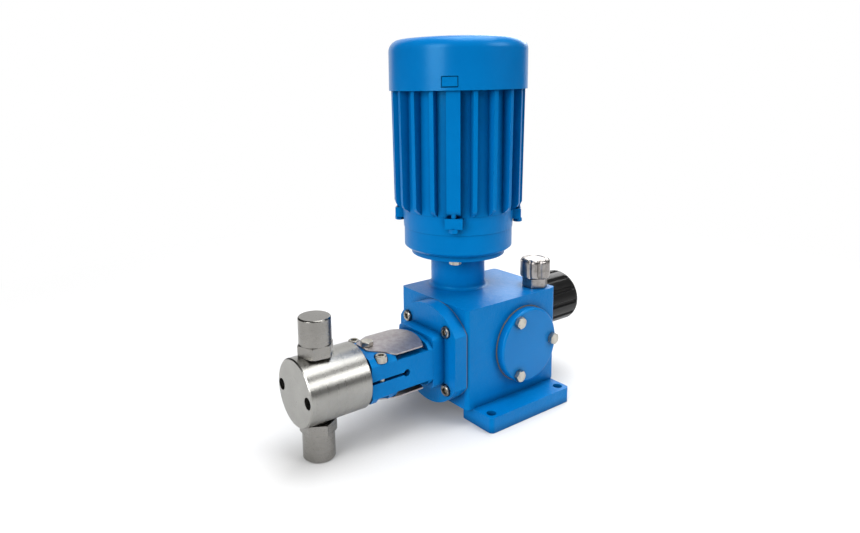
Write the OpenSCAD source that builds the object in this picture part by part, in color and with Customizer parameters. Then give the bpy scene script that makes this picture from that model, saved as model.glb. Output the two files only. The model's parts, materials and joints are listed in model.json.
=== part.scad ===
// Plunger metering pump with a vertical motor, a worm gearbox and a stroke knob.
// Origin: centre of the four foot holes, on the underside of the foot.
// +X points to the stroke knob, -X to the pump head, -Y to the round side cover, +Z up.

/* [Foot] */
// Distance between the foot holes along the pump
foot_pitch_x = 88; // [84:1:92]
// Distance between the foot holes across the pump
foot_pitch_y = 127; // [124:1:132]
// Diameter of the foot holes
foot_hole_d = 9; // [7:0.1:10]
// Distance from a foot hole to the end of its rail
foot_end = 7.5; // [6.5:0.5:12]
// Distance from a foot hole to the outer edge of its rail
foot_edge = 8.25; // [7:0.25:11]
// Width of each foot rail
rail_w = 39.5; // [36:0.5:41]
// Thickness of the foot rails
foot_t = 14.5; // [12:0.5:16]

/* [Gearbox case] */
// Distance from the foot centre to the front face of the case
case_front = 59; // [58:0.5:62]
// Distance from the foot centre to the rear face of the case
case_rear = 56; // [55:0.5:60]
// Width of the case
case_w = 96; // [95:1:104]
// Height of the case above the foot
case_h = 93.5; // [92:0.5:100]
// Wall thickness of the case
case_wall = 7; // [6:0.5:8]
// Corner radius of the case
case_r = 4; // [2:0.5:6]
// Length of the wide part of the case, which holds the worm
gear_case_l = 86; // [84:1:90]
// Clearance of the worm wheel to the far side of the case
wheel_side = 0.5; // [0.4:0.1:1]
// Height of the plunger axis above the foot
axis_rise = 47; // [46.5:0.5:50]
// Distance of the plunger axis from the foot's centre line
plunger_off = 8.5; // [8:0.5:9]
// Radius of the opening behind the side cover
cover_bore_r = 25; // [24:0.5:26]
// Radius of the plugged drain hole
drain_r = 6; // [5:0.5:7]

/* [Neck] */
// Distance of the motor axis from the foot's centre line
motor_off = 21.5; // [21:0.5:22]
// Distance of the motor axis in front of the foot centre
motor_back = 8.5; // [8:0.5:10]
// Outer radius of the neck
neck_r = 26.5; // [25:0.5:28]
// Inner radius of the neck
neck_bore_r = 19.5; // [18:0.5:20.5]
// Height of the neck between the case and its flange
neck_h = 33.4; // [30:0.2:38]
// Radius of the blend at the foot of the neck
neck_fillet = 3.5; // [1:0.5:5]
// Radius of the neck's top flange
neck_flange_r = 45.5; // [44:0.5:48]
// Thickness of the neck's top flange
neck_flange_t = 5.6; // [4:0.2:8]
// Radius of the bolt circle in the neck's top flange
neck_bolt_r = 37.5; // [36:0.5:39]

/* [Fasteners] */
// Thread diameter of the M6 screws
m6_d = 6; // [5.9:0.1:6]
// Width across flats of the hexagon heads
hex_af = 10; // [9:0.5:11]
// Height of the hexagon heads
hex_h = 4; // [3:0.5:5]
// Diameter of the socket heads
socket_d = 10; // [9:0.5:10.5]
// Height of the socket heads
socket_h = 6; // [5:0.5:6.5]
// Width across flats of the hexagon socket
socket_af = 5; // [4:0.5:6]
// Depth of the hexagon socket
socket_depth = 3; // [2:0.5:4]
// Radial clearance of a screw in its hole
screw_gap = 0.1; // [0.05:0.05:0.3]

/* [Side cover] */
// Radius of the side cover
cover_r = 35.6; // [34.5:0.2:38]
// Thickness of the side cover outside the case
cover_t = 7.6; // [6:0.2:9]
// Radius of the rounded rim of the side cover
cover_rim = 2.3; // [1:0.1:2.4]
// Depth of the cover's spigot inside the case
cover_spigot = 10; // [9.6:0.2:12]
// Radius of the circle of cover bolts
cover_bolt_r = 30; // [30:0.5:31]
// Thickness of the flat gaskets
gasket_t = 0.6; // [0.4:0.1:1]
// How far the cover gasket shows beyond the cover
gasket_lip = 0.9; // [0:0.1:1.5]

/* [Lantern] */
// Radius of the lantern's flange
lantern_flange_r = 46.5; // [45:0.5:46.5]
// Half width across the flats of the lantern's flange
lantern_flange_half = 39.5; // [38:0.5:41]
// Thickness of the lantern's flange
lantern_flange_t = 13.4; // [11:0.2:15]
// Distance of the flange screws from the plunger axis, each way
lantern_screw_off = 27.3; // [26.5:0.1:28]
// Depth to which the flange screw heads are sunk
lantern_sink = 3.4; // [2:0.2:6]
// Width of the pad between the flange and the arms
pad_w = 50; // [49.8:0.2:54]
// Height of the pad between the flange and the arms
pad_h = 48.5; // [46:0.5:52]
// Length of the pad
pad_l = 13; // [10:0.5:16]
// Edge radius of the pad
pad_r = 5; // [3:0.5:7]
// Length of the arms and the clamp from the pad to the front
lantern_l = 64.9; // [63:0.1:68]
// Outer radius of the lantern's body
lantern_r = 28.6; // [28:0.1:30]
// Half width across the flats of the lantern's body
lantern_half = 24.9; // [24.5:0.1:25.5]
// Bore radius of the lantern behind the clamp
lantern_bore_r = 20; // [18:0.5:20.5]
// Bore radius of the clamp
clamp_bore_r = 17.4; // [16.5:0.1:17.5]
// Length of the clamp ring
clamp_l = 25.9; // [22:0.1:28]
// Half height of the arms
arm_half = 13.9; // [12:0.1:14]
// Distance from the pad to the rear end of the windows
window_gap = 5; // [3:0.5:8]
// Inner corner radius of the windows
window_r = 4; // [2:0.5:6]
// Height of the clamp's slit
slit_h = 2.6; // [1.5:0.1:4]
// Diameter of the relief hole at the end of the slit
slit_hole_d = 6.4; // [5:0.2:8]
// Distance from the lantern's front to the relief hole
slit_l = 36.2; // [30:0.2:40]
// Distance of the clamp screws from the lantern's front
clamp_screw_x = 12; // [10:0.5:14]
// Distance of the clamp screws from the plunger axis
clamp_screw_off = 21; // [21:0.1:21.2]
// Height of the clamp screw's seat above the axis
clamp_seat = 15.3; // [14:0.1:16.5]

/* [Guards] */
// Height of the guard's crown above the plunger axis
guard_rise = 23.2; // [22.6:0.1:25]
// Bending radius of the guards
guard_bend = 88; // [60:1:150]
// Thickness of the guard plates
guard_t = 1.2; // [0.8:0.1:2]
// Half width of the guard plates
guard_half = 24; // [22:0.5:24.8]
// Half width of the guard's front end
guard_nose = 8.5; // [7:0.5:12]
// Distance from the lantern's front to the guard's front end
guard_front = 6; // [3:0.5:7]
// Length over which the guard widens
guard_taper = 20; // [16:0.5:24]
// Length of the guard plates
guard_l = 55; // [50:0.5:55.5]
// Rounding radius of the guard's rear end
guard_round = 45; // [30:1:80]

/* [Pump head] */
// Radius of the pump head
head_r = 28.6; // [28:0.1:30]
// Length of the pump head
head_l = 57.9; // [55:0.1:62]
// Edge chamfer of the pump head
head_chamfer = 1; // [0.5:0.1:2]
// Gap between the lantern and the pump head
head_gap = 1.1; // [0.5:0.1:2]
// Radius of the plunger
plunger_r = 8; // [7:0.5:8.5]
// Radius of the bore for the packing
packing_r = 11.5; // [10.5:0.1:12.5]
// Length of the packing rings together
packing_l = 19; // [17:1:21]
// Radius of the pumping chamber
chamber_r = 9.2; // [8.8:0.1:10]
// Distance of the holes in the head's front face from the axis
head_hole_off = 22; // [20:0.5:23]
// Diameter of the holes in the head's front face
head_hole_d = 10; // [8:0.5:10]
// Depth of the holes in the head's front face
head_hole_l = 12; // [8:1:14]
// Distance of the valves from the head's front face
valve_x = 20.8; // [18:0.2:24]

/* [Valves] */
// Width across flats of the valve hexagons
valve_af = 27; // [24:0.5:27]
// Height of the discharge valve's hexagon
valve_hex_h = 9.9; // [8:0.1:12]
// Radius of the valve bodies
valve_r = 13.7; // [13:0.1:14.2]
// Height of the discharge valve body above its hexagon
valve_h = 22.7; // [20:0.1:26]
// Height of the suction valve body below its hexagon
suction_h = 22.7; // [20:0.1:22.9]
// Radius of the port threads
port_r = 8.3; // [7:0.1:9]
// Depth of the port threads
port_l = 11; // [9:0.5:12]
// Angle by which the discharge valve's hexagon is turned
discharge_turn = 52; // [30:1:60]
// Radius of the outlet stub under the transport cap
outlet_r = 11; // [10:0.1:11.5]
// Thickness of the transport cap's closed end
cap_end = 3.2; // [2:0.1:5]
// Radius of the valve's threaded stub in the head
stub_r = 8.5; // [8:0.1:9]
// Length of the stub in the head
stub_l = 12; // [10:0.5:14]
// Radius of the check balls
ball_r = 4.5; // [4:0.1:5]
// Lift of the check balls
ball_lift = 3; // [2:0.1:3]
// Radius of the flow passages
flow_r = 3.6; // [3:0.1:3.8]

/* [Gear train] */
// Gear module
gear_module = 1.5; // [1.4:0.05:1.55]
// Teeth on the worm wheel
wheel_teeth = 18; // [18:1:18]
// Pitch diameter of the worm
worm_pitch_d = 16; // [15.5:0.5:16.5]
// Length of the worm's thread
worm_l = 26; // [24:1:34]
// Width of the worm wheel
wheel_w = 12; // [10:0.5:14]
// Free play of the teeth, each side
tooth_play = 0.16; // [0.1:0.01:0.25]
// Radius of the worm and eccentric shaft journals
journal_r = 6; // [5.5:0.1:6.2]
// Throw of the eccentric
throw = 6; // [4:0.5:6]
// Radius of the eccentric journal
eccentric_r = 13; // [12.5:0.1:13.2]
// Outer radius of the eccentric ring
ring_r = 16; // [15:0.1:16]
// Width of the eccentric ring
ring_w = 12; // [10:0.5:12]
// Radial running clearance of shafts and sliding parts
run_gap = 0.05; // [0.03:0.01:0.08]

/* [Crosshead] */
// Radius of the crosshead
crosshead_r = 18; // [17.8:0.1:18.5]
// Length of the crosshead
crosshead_l = 17; // [15:0.5:18]
// Thickness of the crosshead's end plate
crosshead_t = 5; // [4:0.5:6]
// Radius of the crosshead's stem
stem_r = 7; // [6:0.5:7.5]
// Outer radius of the guide sleeve
sleeve_r = 21; // [20.5:0.1:21.5]
// Length of the guide sleeve
sleeve_l = 36; // [34:0.5:37]
// Radius of the boss round the guide sleeve
boss_r = 26; // [24:0.5:27]
// Length of the boss round the guide sleeve
boss_l = 27; // [20:1:30]
// Outer radius of the return spring
spring_r = 13; // [12:0.5:14]
// Wire diameter of the return spring
wire_d = 2.6; // [2:0.1:3]
// Turns of the return spring
spring_turns = 5.5; // [4:0.5:6]
// Radius of the yoke rods
rod_r = 2.5; // [2:0.1:2.6]
// Sideways distance of the yoke rods from the plunger axis
rod_off = 9.5; // [9:0.1:9.8]
// Height of the yoke rods above the plunger axis
rod_rise = 12; // [11.8:0.1:12]
// Thickness of the yoke's crossbar
crossbar_t = 4; // [3:0.5:4]

/* [Stroke adjuster] */
// Height of the adjuster above the plunger axis
adjuster_rise = 18.5; // [18:0.5:19]
// Radius of the adjuster spindle
spindle_r = 6; // [5:0.5:6]
// Radius of the bush flange
bush_flange_r = 20; // [18:0.5:21]
// Thickness of the bush flange
bush_flange_t = 6; // [5:0.5:6.5]
// Radius of the bush neck
bush_r = 11; // [10:0.5:12]
// Length of the bush outside the case
bush_l = 31; // [29:0.5:32]
// Radius of the knob
knob_r = 26; // [24:0.5:28]
// Length of the knob
knob_l = 48; // [46:0.5:52]
// Gap between the case and the knob
knob_gap = 7; // [6.8:0.1:8]
// Number of grooves round the knob
knob_grooves = 12; // [8:1:16]
// Width of a knob groove
groove_w = 4.2; // [3:0.2:6]
// Depth of a knob groove
groove_depth = 1.8; // [1:0.1:2.2]
/* [Oil cap] */
// Distance of the oil cap from the foot centre, towards the knob
cap_x = 44; // [42:0.5:44]
// Distance of the oil cap from the foot's centre line
cap_off = 32.5; // [31:0.5:33]
// Width across flats of the cap's hexagon
cap_af = 22; // [20:0.5:24]
// Height of the cap's hexagon
cap_neck_h = 9.5; // [7:0.5:11]
// Radius of the fluted cap
cap_r = 14.2; // [13:0.1:15]
// Height of the fluted cap
cap_h = 18.5; // [14:0.5:20]

/* [Motor] */
// Radius of the motor flange
motor_flange_r = 52.5; // [51.5:0.1:53]
// Height of the motor flange
motor_flange_h = 21; // [18:0.5:24]
// How far the drive end shield's lower edge lies inside the frame's radius
shield_in = 1.6; // [1.2:0.1:2]
// Height of the drive end shield
shield_h = 17.5; // [16.5:0.1:20]
// Radius of the motor frame's barrel
frame_r = 54.6; // [54:0.1:55]
// Wall thickness of the motor frame
frame_wall = 7.6; // [6:0.1:8]
// Length of the motor frame
frame_l = 117.5; // [116:0.5:118.5]
// Number of cooling fins and ribs together
fin_count = 20; // [20:4:20]
// Thickness of a cooling fin
fin_t = 4; // [3:0.1:5]
// Height of the fins at their top ends
fin_top = 8.7; // [8.2:0.1:9]
// Height of the fins at their lower ends
fin_low = 6.9; // [6.4:0.1:7.4]
// Width of the four tie bolt ribs
rib_w = 12.4; // [11:0.2:14]
// Distance of the tie bolts outside the frame's barrel
tie_out = 3.2; // [3.1:0.1:3.4]
// Diameter of the tie bolts
tie_d = 5; // [4:0.1:5]
// Height of a tie bolt lug
lug_h = 9.7; // [8:0.1:11]
// Width of a tie bolt lug
lug_w = 16; // [13:0.5:18]
// Radius of the motor shaft
motor_shaft_r = 7.5; // [7:0.1:7.6]
// Radius of the rotor
rotor_r = 31; // [29:0.5:32]
// Length of the rotor and the stator core
core_l = 60; // [50:1:62]
// Air gap between rotor and stator
air_gap = 0.4; // [0.3:0.05:0.5]

/* [Fan cowl] */
// How far the fan cowl stands out beyond the fins
cowl_out = 2.3; // [2.2:0.1:3.5]
// Height of the fan cowl
cowl_h = 47.1; // [46:0.1:52]
// How far the fan cowl reaches down over the frame
cowl_lap = 3.6; // [2:0.1:6]
// Corner radius at the top of the cowl
cowl_round = 11; // [8:0.5:14]
// Sheet thickness of the cowl
cowl_t = 1.3; // [1:0.1:1.6]
// Number of fan blades
blade_count = 8; // [6:1:10]
// Width of the window for the cowl's snap tab
snap_w = 14.9; // [12:0.1:16]
// Height of the window for the cowl's snap tab
snap_h = 9.9; // [8:0.1:12]

/* [Terminal box] */
// Width of the terminal box
tbox_w = 76; // [70:1:78]
// Height of the terminal box
tbox_h = 84; // [80:1:86]
// Depth of the terminal box
tbox_d = 37; // [30:1:40]
// Thickness of the terminal box lid
tbox_lid_t = 8; // [5:0.5:10]
// Wall thickness of the terminal box
tbox_wall = 3; // [2.5:0.5:4]

/* [Hidden] */
$fn = 64;
eps = 0.01;

// Colours
paint_blue = [0.02, 0.42, 0.71];
steel = [0.72, 0.72, 0.70];
stainless = [0.62, 0.62, 0.60];
black = [0.12, 0.12, 0.12];
bronze = [0.71, 0.52, 0.28];
copper = [0.72, 0.42, 0.24];
gasket_grey = [0.25, 0.26, 0.28];

// Case
case_x0 = -case_front;
case_x1 = case_rear;
case_y1 = case_w / 2;
case_y0 = -case_y1;
case_y_step = motor_off + wheel_w / 2 + wheel_side + case_wall;
case_x_step = case_x0 + gear_case_l;
case_top = foot_t + case_h;
axis_z = foot_t + axis_rise;
plunger_y = -plunger_off;

// Motor and worm axis
worm_x = -motor_back;
worm_y = motor_off;
neck_top = case_top + neck_h + neck_flange_t;
shield_z = neck_top + motor_flange_h;
frame_z = shield_z + shield_h;
frame_top = frame_z + frame_l;
motor_cavity_r = motor_flange_r - 8.5;
flange_web = 8;

// Worm gear
pitch_axial = PI * gear_module;
worm_r = worm_pitch_d / 2;
wheel_r = gear_module * wheel_teeth / 2;
worm_tip_r = worm_r + gear_module;
worm_root_r = worm_r - 1.25 * gear_module;
wheel_tip_r = wheel_r + gear_module;
wheel_root_r = wheel_r - 1.27 * gear_module;
crank_x = worm_x + worm_r + wheel_r;
wheel_twist = 360 * wheel_w * pitch_axial / (PI * worm_pitch_d) / (2 * PI * wheel_r);
thread_half = pitch_axial / 4 - tooth_play;
thread_crest = thread_half - gear_module * tan(20);
thread_foot = thread_half + 1.25 * gear_module * tan(20);
tooth_half_angle = 90 / wheel_teeth - tooth_play / wheel_r * 180 / PI;
wheel_base_r = wheel_r * cos(20);

// Bearings of the worm shaft
worm_low_r = 14;
worm_low_w = 8;
worm_low_z = foot_t + case_wall + 2;
worm_high_r = 16;
worm_high_w = 10;
worm_high_z = case_top - worm_high_w;
worm_high_shelf = 4;
worm_top_z = case_top + neck_h / 2 + 1.8;

// Eccentric shaft and its bearings
near_bearing_r = 16;
near_bearing_w = 10;
cover_y = case_y0 - gasket_t;
near_bearing_y = cover_y - 0.4 + cover_spigot + gasket_t - near_bearing_w;
far_bearing_r = 9;
wheel_clear = 1.5;
far_bearing_y = worm_y + wheel_w / 2 + wheel_clear;
far_bearing_w = case_y1 - case_wall - far_bearing_y;
shoulder_r = journal_r + 2;

// Crosshead and plunger, all at the rear end of the stroke
stroke = 2 * throw;
pad_gap = 0.3;
crosshead_x1 = crank_x - ring_r - throw - pad_gap;
crosshead_x0 = crosshead_x1 - crosshead_l;
inner_front = case_x0 + case_wall;
sleeve_x1 = inner_front + sleeve_l;
spring_x0 = inner_front;
spring_x1 = crosshead_x1 - crosshead_t;
crossbar_x0 = crank_x + throw + ring_r + 9.5;
crossbar_z0 = axis_z + rod_rise + 0.5;

// Lantern
lantern_x1 = case_x0 - gasket_t;
pad_x1 = lantern_x1 - lantern_flange_t;
pad_x0 = pad_x1 - pad_l;
lantern_x0 = pad_x0 - lantern_l;
clamp_x1 = lantern_x0 + clamp_l;
window_x1 = pad_x0 - window_gap;
screw_x = lantern_x0 + clamp_screw_x;
slit_x = lantern_x0 + slit_l;

// Head
head_x1 = lantern_x0 - head_gap;
head_x0 = head_x1 - head_l;
valve_axis_x = head_x0 + valve_x;
spigot_l = head_gap + clamp_l - 2;
spigot_x1 = head_x1 + spigot_l;
packing_x0 = head_x1 - 7;
gland_x0 = packing_x0 + packing_l;
gland_flange_t = 7.4;
gland_flange_r = 15;
stem_x0 = window_x1 - 8;
coupling_l = 14;
coupling_r = 13;
plunger_x0 = head_x1 - 16;

// Valves
hex_seat_z = head_r - 0.1;
discharge_z = axis_z + hex_seat_z;
suction_z = axis_z - hex_seat_z;
chamfer_w = 1;
seat_t = 3;
ball_gap = 0.2;
suction_seat_z = suction_z - valve_hex_h - suction_h + port_l + 3;
ball_rise = sqrt(ball_r * ball_r - flow_r * flow_r) + ball_gap;

// Stroke adjuster
adjuster_z = axis_z + adjuster_rise;
inner_rear = case_x1 - case_wall;
nose_gap = 0.3;
nose_travel = stroke;
nose_x = crossbar_x0 + crossbar_t + nose_gap + nose_travel;
knob_x0 = case_x1 + knob_gap;
knob_x1 = knob_x0 + knob_l;
bush_x1 = case_x1 + bush_l;
knob_hub_x0 = knob_x0 + 13;
spindle_x1 = bush_x1 + 11;

// Motor inside
low_bearing_z = shield_z + 4;
motor_bearing_r = 17.5;
motor_bearing_w = 11;
core_z = frame_z + 19.5;
rear_shield_h = 14;
fan_z = frame_top + rear_shield_h + 4;
fan_r = frame_r - 5;
fan_h = 16;
fan_hub_r = 11;
joint_r = 14;
joint_l = 31;
gland_r = 10;
cowl_lug_h = rear_shield_h + 3;
cowl_z0 = frame_top - cowl_lap;
cowl_top = cowl_z0 + cowl_h;
fin_r_top = frame_r + fin_top;
fin_r_bottom = frame_r + fin_low;
shield_r = frame_r - shield_in;
tie_r = frame_r + tie_out;
cowl_r = fin_r_top + cowl_out;
tie_angles = [45, 135, 225, 315];
plate_h = 6;
cowl_angles = [105, 345];
snap_angle = 225;
snap_gap = 0.7;
snap_mid = -2.75;
snap_z = frame_top - 1;
cowl_screw_rise = 12;
cowl_screw_r = 1.65;
cowl_screw_l = 7;
fan_bore_r = motor_shaft_r - 1.5;
fan_end_l = 22;
tbox_x0 = fin_r_top + 0.2;
tbox_z0 = frame_z + 14.5;
tbox_screw_in = 5.5;
hex_tie_af = 8;

// Bar along X between two x values
module bar_x(r, x0, x1) {
    translate([x0, 0, 0]) rotate([0, 90, 0]) cylinder(r = r, h = x1 - x0);
}

// Bar along Y between two y values
module bar_y(r, y0, y1) {
    translate([0, y0, 0]) rotate([-90, 0, 0]) cylinder(r = r, h = y1 - y0);
}

// Box between two corners
module block(low, high) {
    translate(low) cube(high - low);
}

// Upright block with rounded upright edges
module round_block(low, high, r) {
    size = high - low;
    translate(low) {
        translate([r, 0, 0]) cube([size[0] - 2 * r, size[1], size[2]]);
        translate([0, r, 0]) cube([size[0], size[1] - 2 * r, size[2]]);
        for (x = [r, size[0] - r], y = [r, size[1] - r])
            translate([x, y, 0]) cylinder(r = r, h = size[2]);
    }
}

// Hexagon prism by its width across flats
module hexagon(af, h) {
    cylinder(r = af / 2 / cos(30), h = h, $fn = 6);
}

// Hexagon bolt along Z: head from z = 0 up, shank below
module hex_bolt(af, head, d, shank) {
    hexagon(af, head);
    translate([0, 0, -shank]) cylinder(r = d / 2, h = shank);
}

// Socket screw along Z: head from z = 0 up, shank below
module socket_screw(shank) {
    difference() {
        cylinder(r = socket_d / 2, h = socket_h);
        translate([0, 0, socket_h - socket_depth]) hexagon(socket_af, socket_depth + eps);
    }
    translate([0, 0, -shank]) cylinder(r = m6_d / 2, h = shank);
}

// Ring along Z
module ring(r_out, r_in, h) {
    difference() {
        cylinder(r = r_out, h = h);
        translate([0, 0, -1]) cylinder(r = r_in, h = h + 2);
    }
}

// Frames of reference
module on_plunger_axis() {
    translate([0, plunger_y, axis_z]) children();
}

module on_crank_axis() {
    translate([crank_x, 0, axis_z]) children();
}

module on_motor_axis() {
    translate([worm_x, worm_y, 0]) children();
}

module at_lantern_screws() {
    for (y = [-1, 1], z = [-1, 1])
        on_plunger_axis() translate([0, y * lantern_screw_off, z * lantern_screw_off]) children();
}

module at_cover_bolts() {
    for (a = [0, 120, 240])
        on_crank_axis() rotate([0, a, 0]) translate([cover_bolt_r, 0, 0]) children();
}

module at_neck_bolts() {
    for (a = tie_angles)
        on_motor_axis() rotate([0, 0, a]) translate([neck_bolt_r, 0, 0]) children();
}

module at_tie_bolts() {
    for (a = tie_angles)
        on_motor_axis() rotate([0, 0, a]) translate([tie_r, 0, 0]) children();
}

module at_bush_screws() {
    for (a = [90, 210, 330])
        translate([0, plunger_y, adjuster_z]) rotate([a, 0, 0])
            translate([0, 0, (bush_flange_r + bush_r) / 2]) children();
}

module in_box_frame() {
    on_motor_axis() rotate([0, 0, 45]) translate([0, 0, tbox_z0]) children();
}

// Outside of the case without neck and foot
module case_outline() {
    round_block([case_x0, case_y0, foot_t], [case_x_step, case_y1, case_top], case_r);
    round_block([case_x0, case_y0, foot_t], [case_x1, case_y_step, case_top], case_r);
}

// Space inside the case
module case_space() {
    low = foot_t + case_wall;
    high = case_top - case_wall;
    block([case_x0 + case_wall, case_y0 + case_wall, low],
          [case_x_step - case_wall, case_y1 - case_wall, high]);
    block([case_x0 + case_wall, case_y0 + case_wall, low],
          [case_x1 - case_wall, case_y_step - case_wall, high]);
}

// Bosses that stand in the space inside the case
module case_bosses() {
    on_plunger_axis() bar_x(boss_r, case_x0 + 1, inner_front + boss_l);
    on_crank_axis() bar_y(far_bearing_r + 4.5, far_bearing_y, case_y1 - 1);
    on_motor_axis() {
        translate([0, 0, foot_t + 1]) cylinder(r = worm_low_r + 3, h = worm_low_z + worm_low_w - foot_t - 1);
        translate([0, 0, worm_high_z - worm_high_shelf])
            cylinder(r = worm_high_r + 4, h = case_top - worm_high_z + worm_high_shelf - 1);
    }
}

// Foot rails with their holes
module foot_rails() {
    x = foot_pitch_x / 2 + foot_end;
    y_out = foot_pitch_y / 2 + foot_edge;
    for (side = [0, 1])
        mirror([0, side, 0]) round_block([-x, y_out - rail_w, 0], [x, y_out, foot_t], case_r);
}

module foot_holes() {
    for (x = [-1, 1], y = [-1, 1])
        translate([x * foot_pitch_x / 2, y * foot_pitch_y / 2, -1])
            cylinder(r = foot_hole_d / 2, h = foot_t + 2);
}

// Neck with a blended foot and a top flange
module neck() {
    on_motor_axis() {
        translate([0, 0, case_top - 1]) cylinder(r = neck_r, h = neck_top - case_top + 1);
        translate([0, 0, case_top + neck_h]) cylinder(r = neck_flange_r, h = neck_flange_t);
        translate([0, 0, case_top]) rotate_extrude() difference() {
            translate([neck_r - 1, -1]) square([neck_fillet + 1, neck_fillet + 1]);
            translate([neck_r + neck_fillet, neck_fillet]) circle(r = neck_fillet);
        }
    }
}

module gearbox_housing() {
    color(paint_blue) difference() {
        union() {
            case_outline();
            foot_rails();
            neck();
        }
        difference() {
            case_space();
            case_bosses();
        }
        foot_holes();
        on_plunger_axis() {
            bar_x(sleeve_r, inner_front, sleeve_x1 + 1);
            bar_x(stem_r + 3, case_x0 - 1, inner_front + 1);
        }
        on_crank_axis() {
            bar_y(cover_bore_r, case_y0 - 1, case_y0 + case_wall + 1);
            bar_y(far_bearing_r, far_bearing_y - 1, far_bearing_y + far_bearing_w);
        }
        on_motor_axis() {
            translate([0, 0, worm_low_z]) cylinder(r = worm_low_r, h = worm_low_w + 1);
            translate([0, 0, worm_high_z - worm_high_shelf - 1]) cylinder(r = worm_tip_r + 0.5, h = 20);
            translate([0, 0, worm_high_z]) cylinder(r = worm_high_r, h = worm_high_w + 1);
            translate([0, 0, case_top]) cylinder(r = neck_bore_r, h = neck_top);
        }
        at_lantern_screws() bar_x(m6_d / 2 + screw_gap, case_x0 - 1, inner_front + 1);
        at_cover_bolts() bar_y(m6_d / 2 + screw_gap, case_y0 - 1, case_y0 + case_wall + 1);
        at_neck_bolts() translate([0, 0, case_top + neck_h - 1])
            cylinder(r = m6_d / 2 + screw_gap, h = neck_flange_t + 2);
        translate([0, plunger_y, adjuster_z]) bar_x(bush_r, inner_rear - 1, case_x1 + 1);
        at_bush_screws() bar_x(2 + screw_gap, inner_rear + 1, case_x1 + 1);
        translate([cap_x, -cap_off, case_top - case_wall - 1]) cylinder(r = 8, h = case_wall + 2);
        translate([worm_x - 20, 0, foot_t + case_wall + drain_r + 3])
            bar_y(drain_r, case_y1 - case_wall - 1, case_y1 + 1);
    }
}

module side_cover() {
    depth = cover_spigot + gasket_t;
    color(paint_blue) difference() {
        on_crank_axis() translate([0, cover_y, 0]) rotate([-90, 0, 0]) {
            rotate_extrude() {
                translate([0, -cover_t]) square([cover_r - cover_rim, cover_t]);
                translate([0, cover_rim - cover_t]) square([cover_r, cover_t - cover_rim]);
                translate([cover_r - cover_rim, cover_rim - cover_t]) circle(r = cover_rim);
            }
            translate([0, 0, -eps]) cylinder(r = cover_bore_r - 0.1, h = depth);
        }
        on_crank_axis() bar_y(near_bearing_r, near_bearing_y, case_y0 + cover_spigot + 1);
        on_crank_axis() bar_y(journal_r + 2, near_bearing_y - 2, near_bearing_y + 1);
        at_cover_bolts() bar_y(m6_d / 2 + screw_gap, cover_y - cover_t - 1, cover_y + 1);
    }
}

module side_cover_gasket() {
    color(gasket_grey) difference() {
        on_crank_axis() bar_y(cover_r + gasket_lip, cover_y, case_y0);
        on_crank_axis() bar_y(cover_bore_r, cover_y - 1, case_y0 + 1);
        at_cover_bolts() bar_y(m6_d / 2 + screw_gap, cover_y - 1, case_y0 + 1);
    }
}

module side_cover_bolts() {
    color(steel) at_cover_bolts() translate([0, cover_y - cover_t, 0]) rotate([90, 0, 0])
        hex_bolt(hex_af, hex_h, m6_d, cover_t + gasket_t + case_wall);
}

// Round flange with two flats
module lantern_plate(x0, x1) {
    on_plunger_axis() intersection() {
        bar_x(lantern_flange_r, x0, x1);
        block([x0 - 1, -lantern_flange_half, -lantern_flange_r - 1],
              [x1 + 1, lantern_flange_half, lantern_flange_r + 1]);
    }
}

// Pad with rounded long edges
module lantern_pad() {
    on_plunger_axis() translate([pad_x1 + 1, 0, 0]) rotate([0, -90, 0])
        round_block([-pad_h / 2, -pad_w / 2, 0], [pad_h / 2, pad_w / 2, pad_l + 1], pad_r);
}

// Round body with two flats and crowns that carry the guards
module lantern_body() {
    under = guard_bend - guard_t;
    on_plunger_axis() intersection() {
        bar_x(lantern_r, lantern_x0, pad_x0 + 1);
        block([lantern_x0 - 1, -lantern_half, -lantern_r - 1], [pad_x0 + 2, lantern_half, lantern_r + 1]);
        translate([0, 0, guard_rise - guard_bend]) bar_x(under, lantern_x0 - 1, pad_x0 + 2);
        translate([0, 0, guard_bend - guard_rise]) bar_x(under, lantern_x0 - 1, pad_x0 + 2);
    }
}

// Window above the arms, closed behind by rounded corners
module lantern_window() {
    on_plunger_axis() translate([0, 0, arm_half])
        round_block([clamp_x1, -lantern_r - 1, 0], [window_x1, lantern_r + 1, lantern_r], window_r);
}

module lantern() {
    color(paint_blue) difference() {
        union() {
            lantern_plate(pad_x1, lantern_x1);
            lantern_pad();
            lantern_body();
        }
        on_plunger_axis() {
            bar_x(lantern_bore_r, clamp_x1 - 2, lantern_x1 + 1);
            bar_x(clamp_bore_r, lantern_x0 - 1, clamp_x1);
            block([lantern_x0 - 1, -lantern_r, -slit_h / 2], [slit_x, lantern_r, slit_h / 2]);
            translate([slit_x, 0, 0]) bar_y(slit_hole_d / 2, -lantern_r, lantern_r);
        }
        lantern_window();
        translate([0, 0, 2 * axis_z]) mirror([0, 0, 1]) lantern_window();
        at_lantern_screws() {
            bar_x(m6_d / 2 + screw_gap, pad_x1 - 1, lantern_x1 + 1);
            bar_x(socket_d / 2 + 0.6, pad_x1 - pad_l, pad_x1 + lantern_sink);
        }
        for (y = [-1, 1]) on_plunger_axis() translate([screw_x, y * clamp_screw_off, 0]) {
            translate([0, 0, -lantern_r]) cylinder(r = m6_d / 2 + screw_gap, h = 2 * lantern_r);
            translate([0, 0, clamp_seat]) cylinder(r = socket_d / 2 + 1, h = lantern_r);
            mirror([0, 0, 1]) translate([0, 0, clamp_seat]) cylinder(r = socket_d / 2 + 1, h = lantern_r);
        }
        on_plunger_axis() translate([screw_x, 0, clamp_bore_r + 1.2]) cylinder(r = m6_d / 2 - 0.4, h = 9);
        on_plunger_axis() mirror([0, 0, 1]) translate([screw_x, 0, clamp_bore_r + 1.2])
            cylinder(r = m6_d / 2 - 0.4, h = 9);
    }
}

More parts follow.
